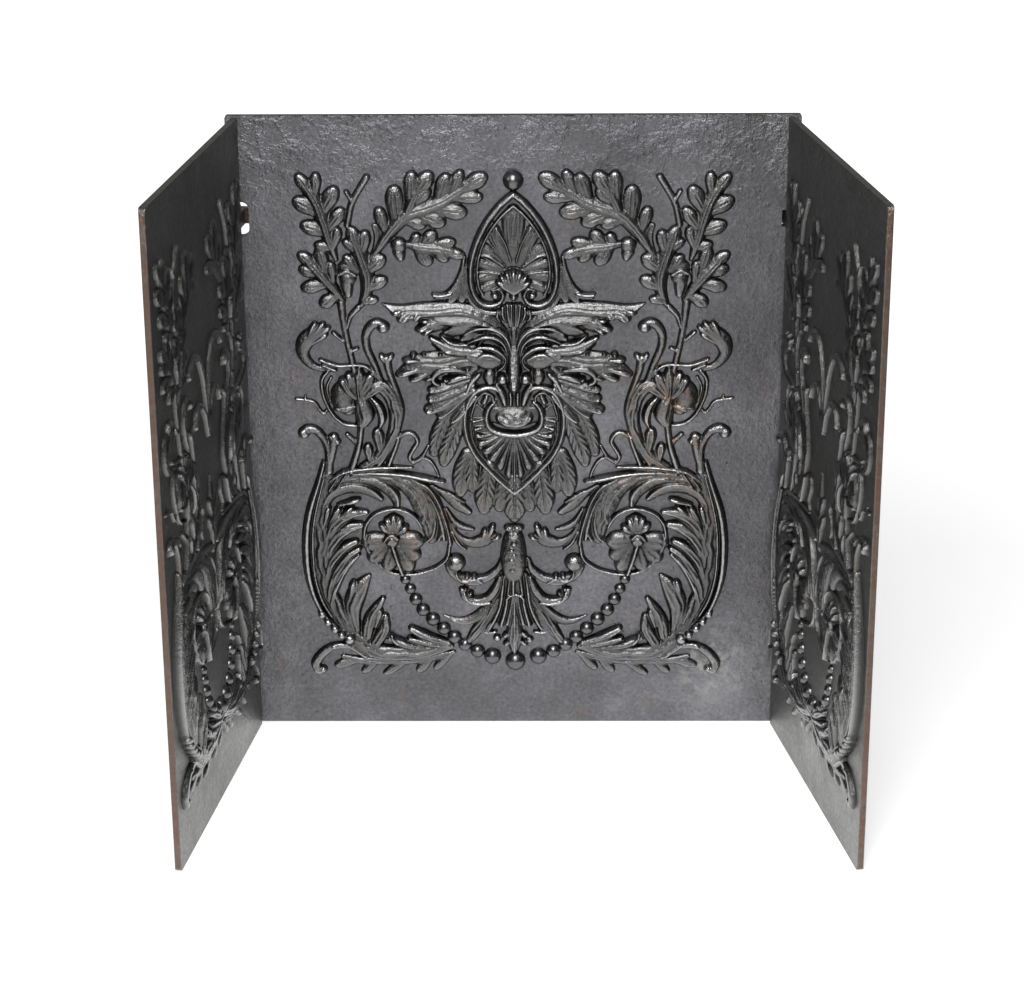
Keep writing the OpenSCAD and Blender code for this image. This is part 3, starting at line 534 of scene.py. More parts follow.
def scroll(relief, whole=True):
    """The big acanthus scroll: a bold rim round the outside, and leaves that flow off it."""
    strokes(relief, [
        [(-208, 306, 6), (-214, 282, 9), (-217, 256, 12), (-216, 228, 14), (-215, 200, 13),
         (-213, 172, 10), (-206, 148, 9), (-194, 126, 8), (-178, 108, 7)],
    ], 8, fluted(4, 0.3))
    strokes(relief, [
        [(-211, 320, 3.6), (-217, 298, 4.4), (-226, 270, 5.4), (-231, 246, 5.8), (-233, 219, 6),
         (-232, 190, 5.8), (-227, 164, 5.2), (-218, 142, 4.6), (-205, 126, 4)],
    ], 10.5, plump)
    strokes(relief, [
        [(-211, 304, 1.2), (-220, 270, 1.5), (-225, 242, 1.6), (-226, 212, 1.6),
         (-224, 182, 1.6), (-217, 155, 1.6), (-207, 136, 1.4)],
    ], 2, lift=8)
    flowing = [
        [(-214, 215, 4), (-207, 236, 7), (-196, 252, 8), (-181, 260, 7), (-165, 261, 3.6)],
        [(-214, 190, 4), (-208, 215, 7), (-198, 233, 8), (-185, 243, 8), (-172, 246, 5)],
        [(-213, 172, 4), (-208, 195, 6), (-199, 211, 7), (-188, 221, 6.4), (-178, 226, 4.6)],
        [(-210, 158, 4), (-205, 180, 6), (-196, 197, 6), (-186, 210, 6), (-175, 217, 4.4)],
        [(-208, 146, 3), (-203, 166, 5), (-196, 184, 5.4), (-187, 198, 5), (-175, 210, 3)],
    ]
    strokes(relief, flowing, 9.4, fluted(2, 0.28))
    petals(relief, [
        (-213, 244, -207, 268, 5), (-208, 246, -195, 267, 5.4), (-201, 250, -180, 268, 5),
        (-196, 270, -172, 277, 4.4),
    ], 9.6)
    strokes(relief, [
        [(-213, 262, 4), (-205, 280, 6.4), (-190, 289, 7.4), (-173, 290, 7.4),
         (-159, 285, 6.4), (-149, 277, 4)],
    ], 10, turned)
    strokes(relief, [
        [(-212, 285, 5), (-200, 296, 7), (-182, 302, 8), (-160, 305, 9), (-138, 303, 10),
         (-118, 295, 12), (-104, 281, 13), (-97, 262, 13), (-93, 242, 11), (-93, 228, 6)],
    ], 8, fluted(4, 0.34))
    strokes(relief, [
        [(-206, 298, 3), (-190, 309, 3.6), (-166, 314, 4), (-140, 315, 3.2), (-113, 314, 1.8)],
        [(-180, 307, 3), (-150, 308.5, 4), (-120, 306, 4.2), (-96, 301, 4.6), (-79, 297.5, 3.4)],
    ], 9, plump)
    strokes(relief, [
        [(-178, 297, 5), (-158, 298, 7), (-143, 291, 8), (-134, 281, 7), (-131, 270, 4.4)],
        [(-142, 300, 4), (-123, 291, 6.4), (-112, 278, 7.4), (-106, 264, 7), (-102, 256, 4.8)],
        [(-116, 296, 4), (-106, 280, 6.4), (-102, 264, 6.4), (-104, 250, 4.4)],
        [(-104, 286, 3.4), (-94, 268, 5.6), (-91, 250, 6.4), (-94, 234, 5.6), (-99, 227, 4)],
        [(-94, 276, 3), (-84, 256, 4.8), (-82, 240, 5), (-86, 228, 4)],
    ], 11, turned)
    strokes(relief, [
        [(-98, 286, 3), (-87, 266, 4.6), (-81, 244, 5), (-79, 228, 3.4)],
        [(-114, 300, 3), (-97, 292, 3.4), (-86, 276, 3.6), (-79, 256, 3.6), (-74, 236, 3.2),
         (-72, 222, 3)], [(-206, 288, 3.4), (-198, 300, 3), (-190, 311, 2.6)],
        [(-198, 290, 3.4), (-190, 302, 3), (-182, 313, 2.6)],
    ], 9, dome)
    if whole:
        strokes(relief, [
            [(-92, 292, 3), (-78, 282, 5), (-64, 270, 7), (-52, 261, 5)],
            [(-78, 286, 2.6), (-66, 279, 3.6), (-56, 273, 2)],
            [(-76, 264, 3), (-68, 250, 4.4), (-58, 243, 4.6), (-47, 240, 3)],
            [(-72, 246, 3), (-64, 232, 4.4), (-51, 224, 6), (-37, 226, 8.4), (-29, 232, 9)],
            [(-70, 236, 2.6), (-63, 223, 3), (-55, 216, 2.2)],
        ], 7.6, turned)
        petals(relief, [
            (-36, 229, -33, 241, 4), (-29, 231, -24, 246, 4.4), (-26, 228, -17, 232, 4),
        ], 8)
    strokes(relief, [
        [(-190, 126, 4), (-196, 142, 5.6), (-200, 154, 5), (-203, 164, 3.4)],
        [(-180, 118, 6), (-184, 138, 10), (-180, 158, 12), (-173, 172, 9), (-164, 184, 3)],
        [(-168, 110, 7), (-165, 128, 8), (-158, 142, 7), (-149, 156, 3.6)],
        [(-158, 102, 8), (-149, 118, 8), (-147, 134, 5)],
    ], 8.6, fluted(3, 0.28))
    petals(relief, [(-186, 158, -181, 178, 5), (-158, 122, -152, 143, 5)], 8.8)
    balls(relief, [(-218, 139, 5.4, 6), (-211.5, 129.5, 5.2, 6), (-204, 121, 5.4, 6),
                   (-196.5, 113.5, 5.2, 6), (-187.5, 108, 6.4, 6)], lift=7)
    balls(relief, [(-164, 126, 4.4, 9)])
    strokes(relief, [
        [(-190, 110, 4.4), (-180, 106, 4), (-172, 96, 4.4), (-164, 86, 4)],
        [(-192, 101, 4.6), (-182, 94, 4.4), (-170, 85, 4.4)],
        [(-178, 112, 3), (-169, 104, 3.6), (-162, 96, 4)],
    ], 8.6, ribbed)
    strokes(relief, [
        [(-196, 122, 6), (-180, 104, 9), (-160, 92, 10.5), (-138, 88, 10.5), (-116, 88, 9.5),
         (-94, 92, 8), (-74, 97, 5)],
    ], 8.4, fluted(3, 0.3))
    strokes(relief, [
        [(-142, 108, 5), (-132, 103, 6.4), (-118, 98, 6), (-104, 96, 4)],
        [(-117, 119, 5), (-106, 113, 6.4), (-93, 107, 6), (-76, 102, 4)],
        [(-119, 107, 4.4), (-108, 104, 5.4), (-92, 100, 5), (-76, 98, 3.6)],
    ], 9.4, fluted(2, 0.3))
    strokes(relief, [[(-140, 113, 1.6), (-138, 107, 2), (-133, 102, 2)]], 2, lift=8.4)


def rosette(relief):
    """Four broad petals round a swirled boss, in a ring that winds out into the stem of
    the scroll, with a spike over the lowest petal."""
    strokes(relief, [
        [(-73, 222, 2.8), (-76, 206, 3), (-86, 196, 3), (-100, 189.5, 3), (-118, 186, 3),
         (-137, 188, 3), (-151, 196, 3), (-162, 210, 3), (-168, 226, 3), (-167, 243, 3),
         (-159, 256, 3), (-146, 263, 3), (-131, 265, 3), (-117, 260, 3), (-108, 251, 3),
         (-104, 242, 2.4)],
    ], 7, ribbed)
    petals(relief, [
        (-143, 228, -165, 224, 12), (-144, 221, -159, 206, 11), (-130, 227, -109, 226, 12),
        (-130, 221, -112, 209, 11),
    ], 8, fluted(2, 0.16))
    petals(relief, [(-138, 218, -142, 196, 11), (-131, 218, -119, 195, 11)], 9.4, fluted(2, 0.16))
    strokes(relief, [[(-137, 232, 8), (-136, 244, 12), (-135, 250, 10)]], 7.4, plump)
    petals(relief, [
        (-139, 236, -149, 246, 5.6), (-137, 238, -143, 253, 5.4), (-135, 238, -135, 257, 6),
        (-133, 238, -127, 253, 5.4), (-131, 236, -121, 244, 5.6),
    ], 10)
    balls(relief, [(-137, 228, 10, 12)])
    strokes(relief, [
        [(-146, 228, 1.6), (-142, 234, 1.8), (-136, 236, 1.8), (-130, 231, 1.8)],
        [(-142, 226, 1.6), (-138, 231, 1.8), (-133, 228, 1.6)],
    ], 2.4, lift=9.6)
    strokes(relief, [[(-137, 224, 3), (-132, 206, 3.4), (-126, 188, 3)]], 5, lift=7)


def foot_leaf(relief):
    """The curled leaf along the foot of the ornament, with its low lobes."""
    strokes(relief, [
        [(-186, 97, 4.4), (-199, 98, 5), (-210, 95, 5.4), (-220, 87, 6), (-227, 76, 6.2),
         (-224, 67, 5.6), (-219, 68, 4.6)],
    ], 6.6, plump)
    balls(relief, [(-206, 97, 5, 7.6), (-219, 68.5, 5.2, 7.4)])
    strokes(relief, [
        [(-196, 84, 3), (-176, 79, 5.4), (-150, 79, 6), (-124, 79, 6), (-98, 82, 5.4),
         (-70, 89, 3)],
    ], 4.6, fluted(2, 0.4))
    petals(relief, [
        (-178, 80, -204, 73, 6), (-158, 78, -173, 65, 5.4), (-124, 78, -149, 62, 5.2),
        (-96, 82, -110, 66, 6), (-74, 87, -91, 69, 5.4),
    ], 4.6)


def mask_leaves(relief):
    """The leaves that sweep out from the brow and the cheek of the mask."""
    strokes(relief, [
        [(-10, 462, 6), (-26, 476, 9), (-46, 485, 12), (-70, 487, 13), (-92, 482, 9),
         (-102, 477, 4)], [(-34, 448, 8), (-52, 450, 10), (-72, 452, 8), (-86, 458, 4)],
        [(-44, 430, 8), (-60, 420, 10), (-72, 406, 12), (-84, 392, 8)],
    ], 4.5, plump)
    strokes(relief, [
        [(-4, 458, 3.4), (-12, 473, 5.4), (-28, 488, 7), (-48, 496.5, 8), (-72, 498.5, 9),
         (-98, 497, 9.6), (-120, 495, 9), (-142, 504, 1.5)],
    ], 11.5, leafy)
    petals(relief, [
        (-112, 494, -123, 486, 7), (-100, 494, -108, 488, 6), (-122, 497, -131, 493, 5),
    ], 10.5, fluted(2, 0.25))
    strokes(relief, [
        [(-10, 462, 4), (-24, 478, 6), (-44, 487, 8), (-66, 487, 9), (-84, 488, 8), (-94, 486, 5)],
    ], 12, turned)
    strokes(relief, [
        [(-10, 458, 4), (-22, 473, 6), (-42, 479, 8), (-62, 475, 9), (-72, 472, 6)],
        [(-72, 483, 6), (-88, 479, 8.6), (-98, 477, 6.4)],
    ], 12, turned_back)
    petals(relief, [
        (-88, 482, -105, 474, 5.6), (-86, 478, -99, 470, 4.6), (-88, 486, -101, 485, 4.6),
    ], 11.5, fluted(2, 0.3))
    strokes(relief, [
        [(-36, 450, 5), (-50, 450, 7), (-64, 451.5, 8), (-78, 457, 7), (-90, 465, 3.4)],
    ], 9.5, veined)
    strokes(relief, [
        [(-50, 458, 3.4), (-62, 459, 4.4), (-71, 462, 4.6), (-79, 468, 2.6)],
        [(-62, 448, 3), (-72, 450, 4.4), (-80, 453, 3)],
    ], 10.5, dome)
    strokes(relief, [
        [(-38, 440, 7), (-56, 440, 10), (-78, 438.5, 12.4), (-98, 436, 12.6), (-112, 431, 9.4),
         (-126, 423.5, 4.6)],
    ], 10.5, leafy)
    petals(relief, [
        (-100, 431, -127, 422.5, 5.4), (-90, 427, -113, 416.5, 5.6), (-78, 426, -98, 417, 4.6),
        (-104, 440, -120, 439.5, 5),
    ], 9, dome)
    balls(relief, [(-109.5, 446, 4.4, 10), (-98, 446.5, 3.6, 10), (-80, 447, 3.6, 10)])
    strokes(relief, [
        [(-54, 428, 4), (-66, 430, 5.6), (-78, 430, 6.4), (-87, 424, 5.8), (-88, 416, 4.6),
         (-82, 412, 4)], [(-48, 422, 4), (-58, 421, 6), (-67, 418, 6), (-72, 415, 4.4)],
    ], 10.5, dome)
    balls(relief, [(-75, 417.5, 4.4, 9.5)])
    petals(relief, [
        (-44, 398, -70, 369, 7.6), (-46, 406, -84, 374, 7), (-46, 406, -97, 380.5, 8.6),
        (-46, 412, -94.5, 394, 7.4), (-48, 418, -94, 404.5, 6.4),
    ], 11, leafy)
    strokes(relief, [
        [(-42, 432, 5), (-50, 424, 5), (-58, 410, 5), (-63, 394, 4.6), (-65, 378, 3.4)],
    ], 6, dome)


# ------------------------------------------------------------------ motifs of the middle
def crest(relief):
    """A pointed frame with curled ends round a palmette and a shell, on two brackets."""
    strokes(relief, both([
        [(0, 548, 4), (-2, 575, 8), (-3, 597, 10), (-2, 610, 5)],
        [(-5, 547, 3), (-13, 566, 7), (-20, 582, 9), (-23, 591, 5)],
        [(-8, 545, 3), (-22, 558, 7), (-32, 566, 7.4), (-38, 570, 4)],
        [(-10, 541, 3), (-26, 546, 6), (-38, 551, 6), (-42, 552, 4)],
        [(-10, 536, 3), (-28, 535, 6), (-38, 533, 6), (-43, 532, 4)],
        [(-12, 530, 3), (-26, 524, 6), (-36, 519, 5), (-40, 516, 3)],
    ]), 4.4, fluted(4, 0.4))
    strokes(relief, both([
        [(-3, 552, 1.2), (-9, 572, 1.4), (-18, 588, 1.4)],
        [(-10, 546, 1.2), (-24, 556, 1.4), (-36, 560, 1.4)],
        [(-14, 538, 1.2), (-28, 540, 1.4), (-40, 541, 1.4)],
    ]), 2, lift=3.6)
    strokes(relief, both([
        [(0, 626.5, 4.6), (-14, 614, 4.6), (-29, 594, 4.8), (-40, 571, 4.8), (-46, 547, 4.8),
         (-45.5, 524, 4.8), (-38.5, 508.5, 4.6), (-27, 502.5, 4.4), (-16, 505.5, 4),
         (-11.5, 514, 3.6), (-16, 521, 3.2), (-23, 519, 2.8)],
    ]), 8.5, ribbed)
    strokes(relief, both([
        [(0, 614, 1.8), (-13, 602, 1.8), (-26, 584, 1.8), (-35, 565, 1.8), (-39, 545, 1.8),
         (-38, 526, 1.8), (-33, 514, 1.8)],
    ]), 2, lift=4)
    strokes(relief, both([
        [(-51, 540, 3), (-50, 516, 4), (-40, 500, 4), (-26, 494, 4), (-12, 494, 4)],
        [(-53, 557, 2.5), (-56, 540, 3.6), (-62, 524, 5), (-72, 514, 5), (-84, 512, 4)],
        [(-52, 545, 3), (-53, 525, 5), (-56, 510, 6)],
        [(-58, 530, 4), (-64, 514, 6), (-68, 508, 5)],
    ]), 6, ribbed)
    strokes(relief, both([[(-68, 516, 2), (-78, 514, 2.4), (-87, 514.5, 2.2)]]), 3, lift=5)
    balls(relief, [(s * 20, 513.5, 5.4, 8) for s in (-1, 1)])
    balls(relief, [(0, 529, 15, 8), (0, 512, 5.4, 9.4)])
    fan = [(0, 516, 18 * math.sin(turn), 526 + 16 * math.cos(turn), 4.6)
           for turn in np.radians((-75, -50, -25, 0, 25, 50, 75))]
    petals(relief, fan, 8, dome, lift=2.4)
    strokes(relief, both([
        [(-2.5, 503, 3), (-2.2, 488, 3), (-1.5, 474, 2)],
        [(-7, 503, 3), (-6, 491, 3.4), (-4, 478, 2)],
        [(-12, 500, 3), (-12, 492, 3.2), (-9, 483, 2)],
        [(-17, 496, 3), (-18, 490, 3), (-15, 484, 2)],
    ]), 7, dome)


def mask(relief):
    """The face: nose, eyes under folded brows, cheeks, moustache, lips and tongue."""
    strokes(relief, [[(0, 470, 9), (0, 450, 13), (0, 425, 20), (0, 398, 22)]], 2.4, plump)
    strokes(relief, both([
        [(-12, 462, 6), (-26, 456, 10), (-34, 444, 12), (-36, 428, 13), (-28, 414, 11),
         (-16, 404, 8)],
    ]), 2, swell)
    strokes(relief, both([[(-12, 460, 5), (-26, 471, 8), (-44, 470, 8), (-56, 464, 4)]]), 7.6,
            plump)
    strokes(relief, both([
        [(-3, 446, 2.4), (-6, 461, 4), (-14, 473, 5.6), (-28, 479, 6.4), (-42, 477, 5.6),
         (-54, 470, 3)],
        [(-7, 444, 2), (-10, 457, 3.6), (-18, 466, 5.4), (-30, 468.5, 6), (-42, 465, 5),
         (-50, 460, 3)],
    ]), 12.5, dome, taper=0.8)
    strokes(relief, both([
        [(-13, 440, 5), (-20, 440, 9.6), (-28, 440, 12), (-38, 443, 10.4), (-48, 446, 8)],
    ]), 10, dome)
    strokes(relief, both([
        [(-46, 452, 1.8), (-36, 455, 2.6), (-24, 454, 3), (-15, 449, 2.6), (-9, 442, 2),
         (-11, 434, 1.8), (-17, 428.5, 1.4)],
    ]), 3.4, lift=5)
    strokes(relief, both([
        [(-40, 444, 1.2), (-32, 447.5, 2.2), (-22, 446, 2.2), (-14, 441, 1.4)],
    ]), 2, lift=9)
    strokes(relief, both([
        [(-26, 428, 5), (-27, 422, 7.6), (-26, 416, 6)],
        [(-38, 424, 4), (-46, 416, 5), (-52, 404, 4.4)],
    ]), 8.5, dome)
    balls(relief, [(-12.5, 419, 8.4, 12.6), (12.5, 419, 8.4, 12.6)])
    strokes(relief, [
        [(0, 476, 3), (0, 462, 4.6), (0, 448, 7.4), (0, 432, 9), (0, 418, 9.6), (0, 411, 9)],
    ], 20, bridge, taper=0.2)
    strokes(relief, both([
        [(-19, 412, 4), (-15, 405, 5.4), (-12, 397, 5.4), (-10, 389, 4)],
        [(-4, 402, 3), (-3.6, 395, 3.6), (-4, 388, 3)],
    ]), 8.4, dome)
    strokes(relief, both([
        [(-21, 392, 2.8), (-28, 384, 3.8), (-30.5, 373, 4.4), (-27, 362, 4.6), (-16, 355.5, 4.8),
         (0, 353, 5)],
    ]), 8.5, dome)
    strokes(relief, [[(-24, 376, 9), (0, 374, 14), (24, 376, 9)]], 3, plump)
    strokes(relief, [[(13, 374, 8.4), (5, 373, 12.4), (-5, 373, 12.4), (-13, 374, 8.4)]], 13,
            knobbly)


def beard_frame(relief):
    """The pointed chin: a double rim, hooked at the top, round an upturned palmette."""
    strokes(relief, both([
        [(-10, 344, 12), (-16, 330, 14), (-12, 314, 12), (-4, 302, 8)],
        [(-24, 344, 12), (-34, 352, 10), (-40, 366, 8), (-40, 384, 7)],
    ]), 2.4, plump)
    strokes(relief, both([
        [(-3, 350, 2), (-9, 334, 3.8), (-15, 319, 6), (-16, 314, 4.6)],
        [(-7, 350, 2), (-15, 337, 3.8), (-23, 327, 6), (-24, 324, 4.6)],
        [(-12, 350, 2), (-21, 341, 3.8), (-30, 334.5, 5.8), (-32, 333, 4.4)],
        [(-17, 351, 2), (-27, 346, 3.6), (-36, 343.5, 5.2), (-38, 343, 4)],
        [(-24, 354, 2), (-33, 352, 3.4), (-40, 352.5, 4.6), (-42, 353, 3.6)],
        [(-1, 350, 2), (-4, 330, 3.6), (-6.5, 310, 5), (-6.5, 304, 3.6)],
        [(-33, 362, 2), (-43, 360, 3.6)], [(-34, 371, 2), (-45, 369.5, 3.6)],
    ]), 7.4, dome, taper=0.9)
    strokes(relief, [[(0, 350, 1.8), (0, 325, 2.8), (0, 300, 3.6)]], 7, dome)
    strokes(relief, both([
        [(-13, 398, 3.6), (-19, 407, 4.4), (-31, 408.5, 4.8), (-43, 403, 4.8), (-51, 390, 4.8),
         (-54.5, 371, 4.8), (-51.5, 349, 4.8), (-43, 330, 4.8), (-30, 314, 4.8),
         (-15, 298, 4.8), (0, 284.5, 4.8)],
    ]), 9, ribbed)
    strokes(relief, both([
        [(-23, 391, 2.2), (-24, 398, 2.2), (-31, 402, 2.2), (-39, 397, 2.2), (-45, 385, 2),
         (-48, 368, 2), (-46, 349, 2), (-39, 333, 2), (-27, 318, 2), (-13, 303, 2), (0, 291, 2)],
        [(-34, 382, 1.8), (-42, 388, 1.8), (-46, 378, 1.6)], [(-33, 391, 4), (-30, 398, 3.4)],
    ]), 6.4, dome)


def beard_leaves(relief):
    """Broad leaves that hang behind the chin, finely veined, each over the next."""
    strokes(relief, both([
        [(-66, 388, 6), (-78, 368, 8.6), (-85, 350, 9.4), (-89, 332, 6)],
        [(-52, 330, 8), (-57, 312, 11), (-59, 296, 11), (-60, 284, 6)],
        [(-14, 292, 7), (-16, 276, 9), (-17, 266, 6)],
    ]), 6.6, feathered)
    strokes(relief, both([
        [(-60, 372, 9), (-69, 350, 11), (-75, 334, 11), (-78, 320, 6)],
        [(-28, 316, 8), (-31, 296, 12), (-33, 279, 12.6), (-34, 264, 7)],
        [(-46, 330, 6), (-47, 312, 9), (-47, 298, 9), (-47, 288, 5)],
    ]), 8.6, feathered, taper=1.1)
    strokes(relief, [[(0, 300, 9), (0, 282, 14), (0, 267, 13.6), (0, 254, 7)]], 9, feathered,
            taper=1.1)


def pendant(relief):
    """A belled knob with pearls over a fluted skirt, two curling arms to each side, a
    centre leaf and two studs."""
    strokes(relief, [[(-1, 186, 14), (-1, 172, 14), (-1, 160, 10)]], 5, plump)
    strokes(relief, [
        [(-1, 238, 6), (-1.4, 230, 11.4), (-1.6, 216, 14.4), (-1.6, 200, 15.4),
         (-1.6, 188, 12.6), (-1.6, 184, 9)],
    ], 13, dome, taper=0.8)
    strokes(relief, both([
        [(-15, 204, 3), (-18, 194, 4.6), (-24, 187, 5.6), (-33, 181, 6),
         (-46, 178, 7.6), (-60, 181, 7), (-70, 189, 6.4), (-73, 199, 6.4), (-67, 203, 8)],
        [(-17, 182, 4), (-22, 168, 6), (-31, 157, 6.2), (-44, 153.5, 6), (-55, 158, 6),
         (-60, 167, 4)],
    ]), 8, plump)
    balls(relief, [(s * x, z, r, h) for s in (-1, 1) for x, z, r, h in
                   ((66.5, 200, 11.5, 11.5), (64, 193, 4, 13), (54, 184, 5, 9.4),
                    (46, 184, 4.4, 9), (56, 168, 4, 8.6), (50, 163, 4, 8.6))])
    strokes(relief, both([
        [(-36, 176, 1.6), (-45, 181, 1.8), (-56, 178, 1.8), (-64, 183, 1.8), (-66, 190, 1.8)],
        [(-28, 152, 1.6), (-40, 150.5, 2), (-52, 154, 2), (-57, 163, 1.8)],
    ]), 2.6, lift=6.6)
    strokes(relief, both([
        [(-20, 160, 4), (-32, 145, 5.6), (-48, 131, 6.2), (-64, 128, 4.6), (-81, 135, 1.4)],
    ]), 6.8, turned)
    strokes(relief, both([
        [(-17, 160, 4), (-30, 138, 6.4), (-44, 116, 7), (-54, 101, 4)],
        [(-15, 176, 4), (-17, 156, 5), (-24, 134, 6.4), (-32, 119, 6)],
    ]), 6.8, fluted(3, 0.45))
    strokes(relief, both([
        [(-12, 186, 3), (-14, 170, 4), (-17, 148, 4), (-24, 130, 4), (-30, 119, 3.4)],
        [(-6, 182, 3.4), (-8, 164, 4), (-11, 144, 4.2), (-16, 124, 4.2)],
        [(-3, 162, 3), (-5, 145, 4), (-9, 126, 4.6)],
    ]), 8.4, dome)
    strokes(relief, both([[(-39, 116, 2.4), (-31, 114, 2.8), (-22, 115, 2.4)]]), 7.6)
    strokes(relief, [
        [(-1, 160, 6), (-1, 142, 6), (-1, 126, 8), (-1, 112, 10), (-1, 100, 8), (-1, 88, 3)],
    ], 9.6, fluted(5, 0.4))
    petals(relief, both_lobes([(-5, 116, -13, 109, 4), (-4, 106, -12, 99, 4)]), 8, fluted(2, 0.3))
    strokes(relief, both([[(-1, 163, 2), (-6, 161, 2), (-10, 157, 1.8)]]), 3, lift=7)
    strokes(relief, [[(-2, 184, 2), (-2, 163, 1.8)], [(-1, 150, 1.2), (-1, 90, 1)]], 2.4, lift=8)
    strokes(relief, [[(-8, 242, 5), (6, 242, 5)]], 7, plump)
    balls(relief, [(-8.4, 242.5, 4.2, 11), (-1.2, 242.5, 4.6, 12.4), (6, 242.5, 4.2, 11)])
    balls(relief, [(-1, 226, 3.4, 3), (-3.4, 218.5, 2.8, 2.6), (-0.6, 212, 2.8, 2.6),
                   (-3.6, 206, 2.8, 2.6), (-1, 200, 2.8, 2.6), (-3, 194, 3.2, 2.6)], lift=11.4)
    balls(relief, [(-20.5, 107, 5, 6), (16, 105, 5, 6)])


def tendrils(relief):
    """The middle of a cheek: arching tendrils over an upright leaf."""
    strokes(relief, both([
        [(0, 420, 4), (-6, 462, 4), (-15, 492, 4.4), (-30, 513, 4.8), (-48, 514, 5),
         (-62, 503, 5.4)],
        [(-3, 424, 3.6), (-12, 446, 4), (-28, 461, 4.4), (-42, 456, 4.6), (-48, 444, 4.6)],
    ]), 6, plump)
    balls(relief, [(s * x, z, r, 6.6) for s in (-1, 1) for x, z, r in
                   ((61, 503, 5.8), (48, 445, 5))])
    strokes(relief, [[(0, 290, 4), (0, 316, 10), (0, 344, 9), (0, 374, 3)]], 6.6, fluted(3, 0.4))
    petals(relief, both_lobes([(-3, 310, -14, 330, 5), (-3, 330, -12, 350, 4.6)]), 5.4)


# ------------------------------------------------------------------ iron
RUST = (0.15, 0.1, 0.068, 1)  # red, green, blue, and 1 for solid
EDGE_RUST = (0.15, 0.092, 0.07, 1)
EDGE_OLIVE = (0.13, 0.13, 0.1, 1)
PALE = (0.3, 0.3, 0.28, 1)
BRIGHT_RUST = (0.27, 0.16, 0.1, 1)
# Noises from the broadest to the finest: scale, then detail and roughness if not as usual.
SLOW = (7.0, 4.0)
RUST_PATCHES = (21.0, 5.0, 0.7)
LUMPS = (48.0, 5.0, 0.65)
STAIN_BLOTS = (75.0, 5.0, 0.7)
EDGE_BLOTS = (90.0,)
PITS = (190.0, 2.0)
FINE = (230.0, 3.0, 0.7)
SAND = (700.0, 2.0)
TOP_BAND = (0.6, 0.69)  # m, where a plate gets its lumps
LEANING, SQUARE = 0.75, 0.95  # how squarely a face looks one way


def noise(tree, where, scale, detail=3.0, roughness=0.6):
    """A cloudy value about 0.5. The finer the noise, the larger its scale."""
    return add(tree, "ShaderNodeTexNoise", {
        "Vector": where, "Scale": scale, "Detail": detail,
        "Roughness": roughness}).outputs["Fac"]


def ramp(tree, value, stops):
    """The colour that the stops, pairs of a place and a colour, give to the value."""
    node = add(tree, "ShaderNodeValToRGB", {"Fac": value})
    marks = node.color_ramp.elements
    while len(marks) < len(stops):
        marks.new(0.5)
    for mark, (place, colour) in zip(marks, stops):
        mark.position = place
        mark.color = (*colour, 1)
    return node.outputs["Color"]


def mixed(tree, factor, a, b):
    """Colour a, turned towards colour b by the factor."""
    return add(tree, "ShaderNodeMix", {"Factor": factor, 6: a, 7: b},
               data_type="RGBA").outputs[2]


def edge_rust(tree, where, colour, front_rust):
    """Turns the colour an olive grey on the faces that look up and, by the share
    front_rust, rusty brown on those that look to the front: the rims of a cheek, where no
    polish holds."""
    normal = add(tree, "ShaderNodeTexCoord").outputs["Normal"]
    facing = add(tree, "ShaderNodeSeparateXYZ", {0: normal}).outputs
    blots = ranged(tree, noise(tree, where, *EDGE_BLOTS), 0.3, 0.6, 0.35, 1.0)
    front = ranged(tree, facing["Y"], -LEANING, -SQUARE, 0.0, front_rust)
    top = ranged(tree, facing["Z"], LEANING, SQUARE, 0.0, 0.8)
    colour = mixed(tree, combine(tree, "MULTIPLY", front, blots), colour, EDGE_RUST)
    return mixed(tree, combine(tree, "MULTIPLY", top, blots), colour, EDGE_OLIVE)


def stained(tree, where, colour, place, reach, stain, share):
    """Blots of a stain on the colour, thickest at a place and gone a reach away from it."""
    away = add(tree, "ShaderNodeVectorMath", {0: where, 1: place}, operation="DISTANCE")
    near = ranged(tree, away.outputs["Value"], reach, 0.4 * reach)
    blots = ranged(tree, noise(tree, where, *STAIN_BLOTS), 0.48, 0.66, 0.0, share)
    return mixed(tree, combine(tree, "MULTIPLY", near, blots), colour, stain)


def plate_heights(tree, where, heights):
    """Adds the skin of the sand mould to a plate: small pits, and lumps in its top band."""
    pits = ranged(tree, noise(tree, where, *PITS), 0.66, 0.74, 0.0, -1.2)
    up = add(tree, "ShaderNodeSeparateXYZ", {0: where}).outputs["Z"]
    band = ranged(tree, up, *TOP_BAND, 0.3, 1.0)
    lumps = ranged(tree, noise(tree, where, *LUMPS), 0.46, 0.7, 0.0, 2.6)
    return combine(tree, "MULTIPLY_ADD", lumps, band, combine(tree, "ADD", heights, pits))


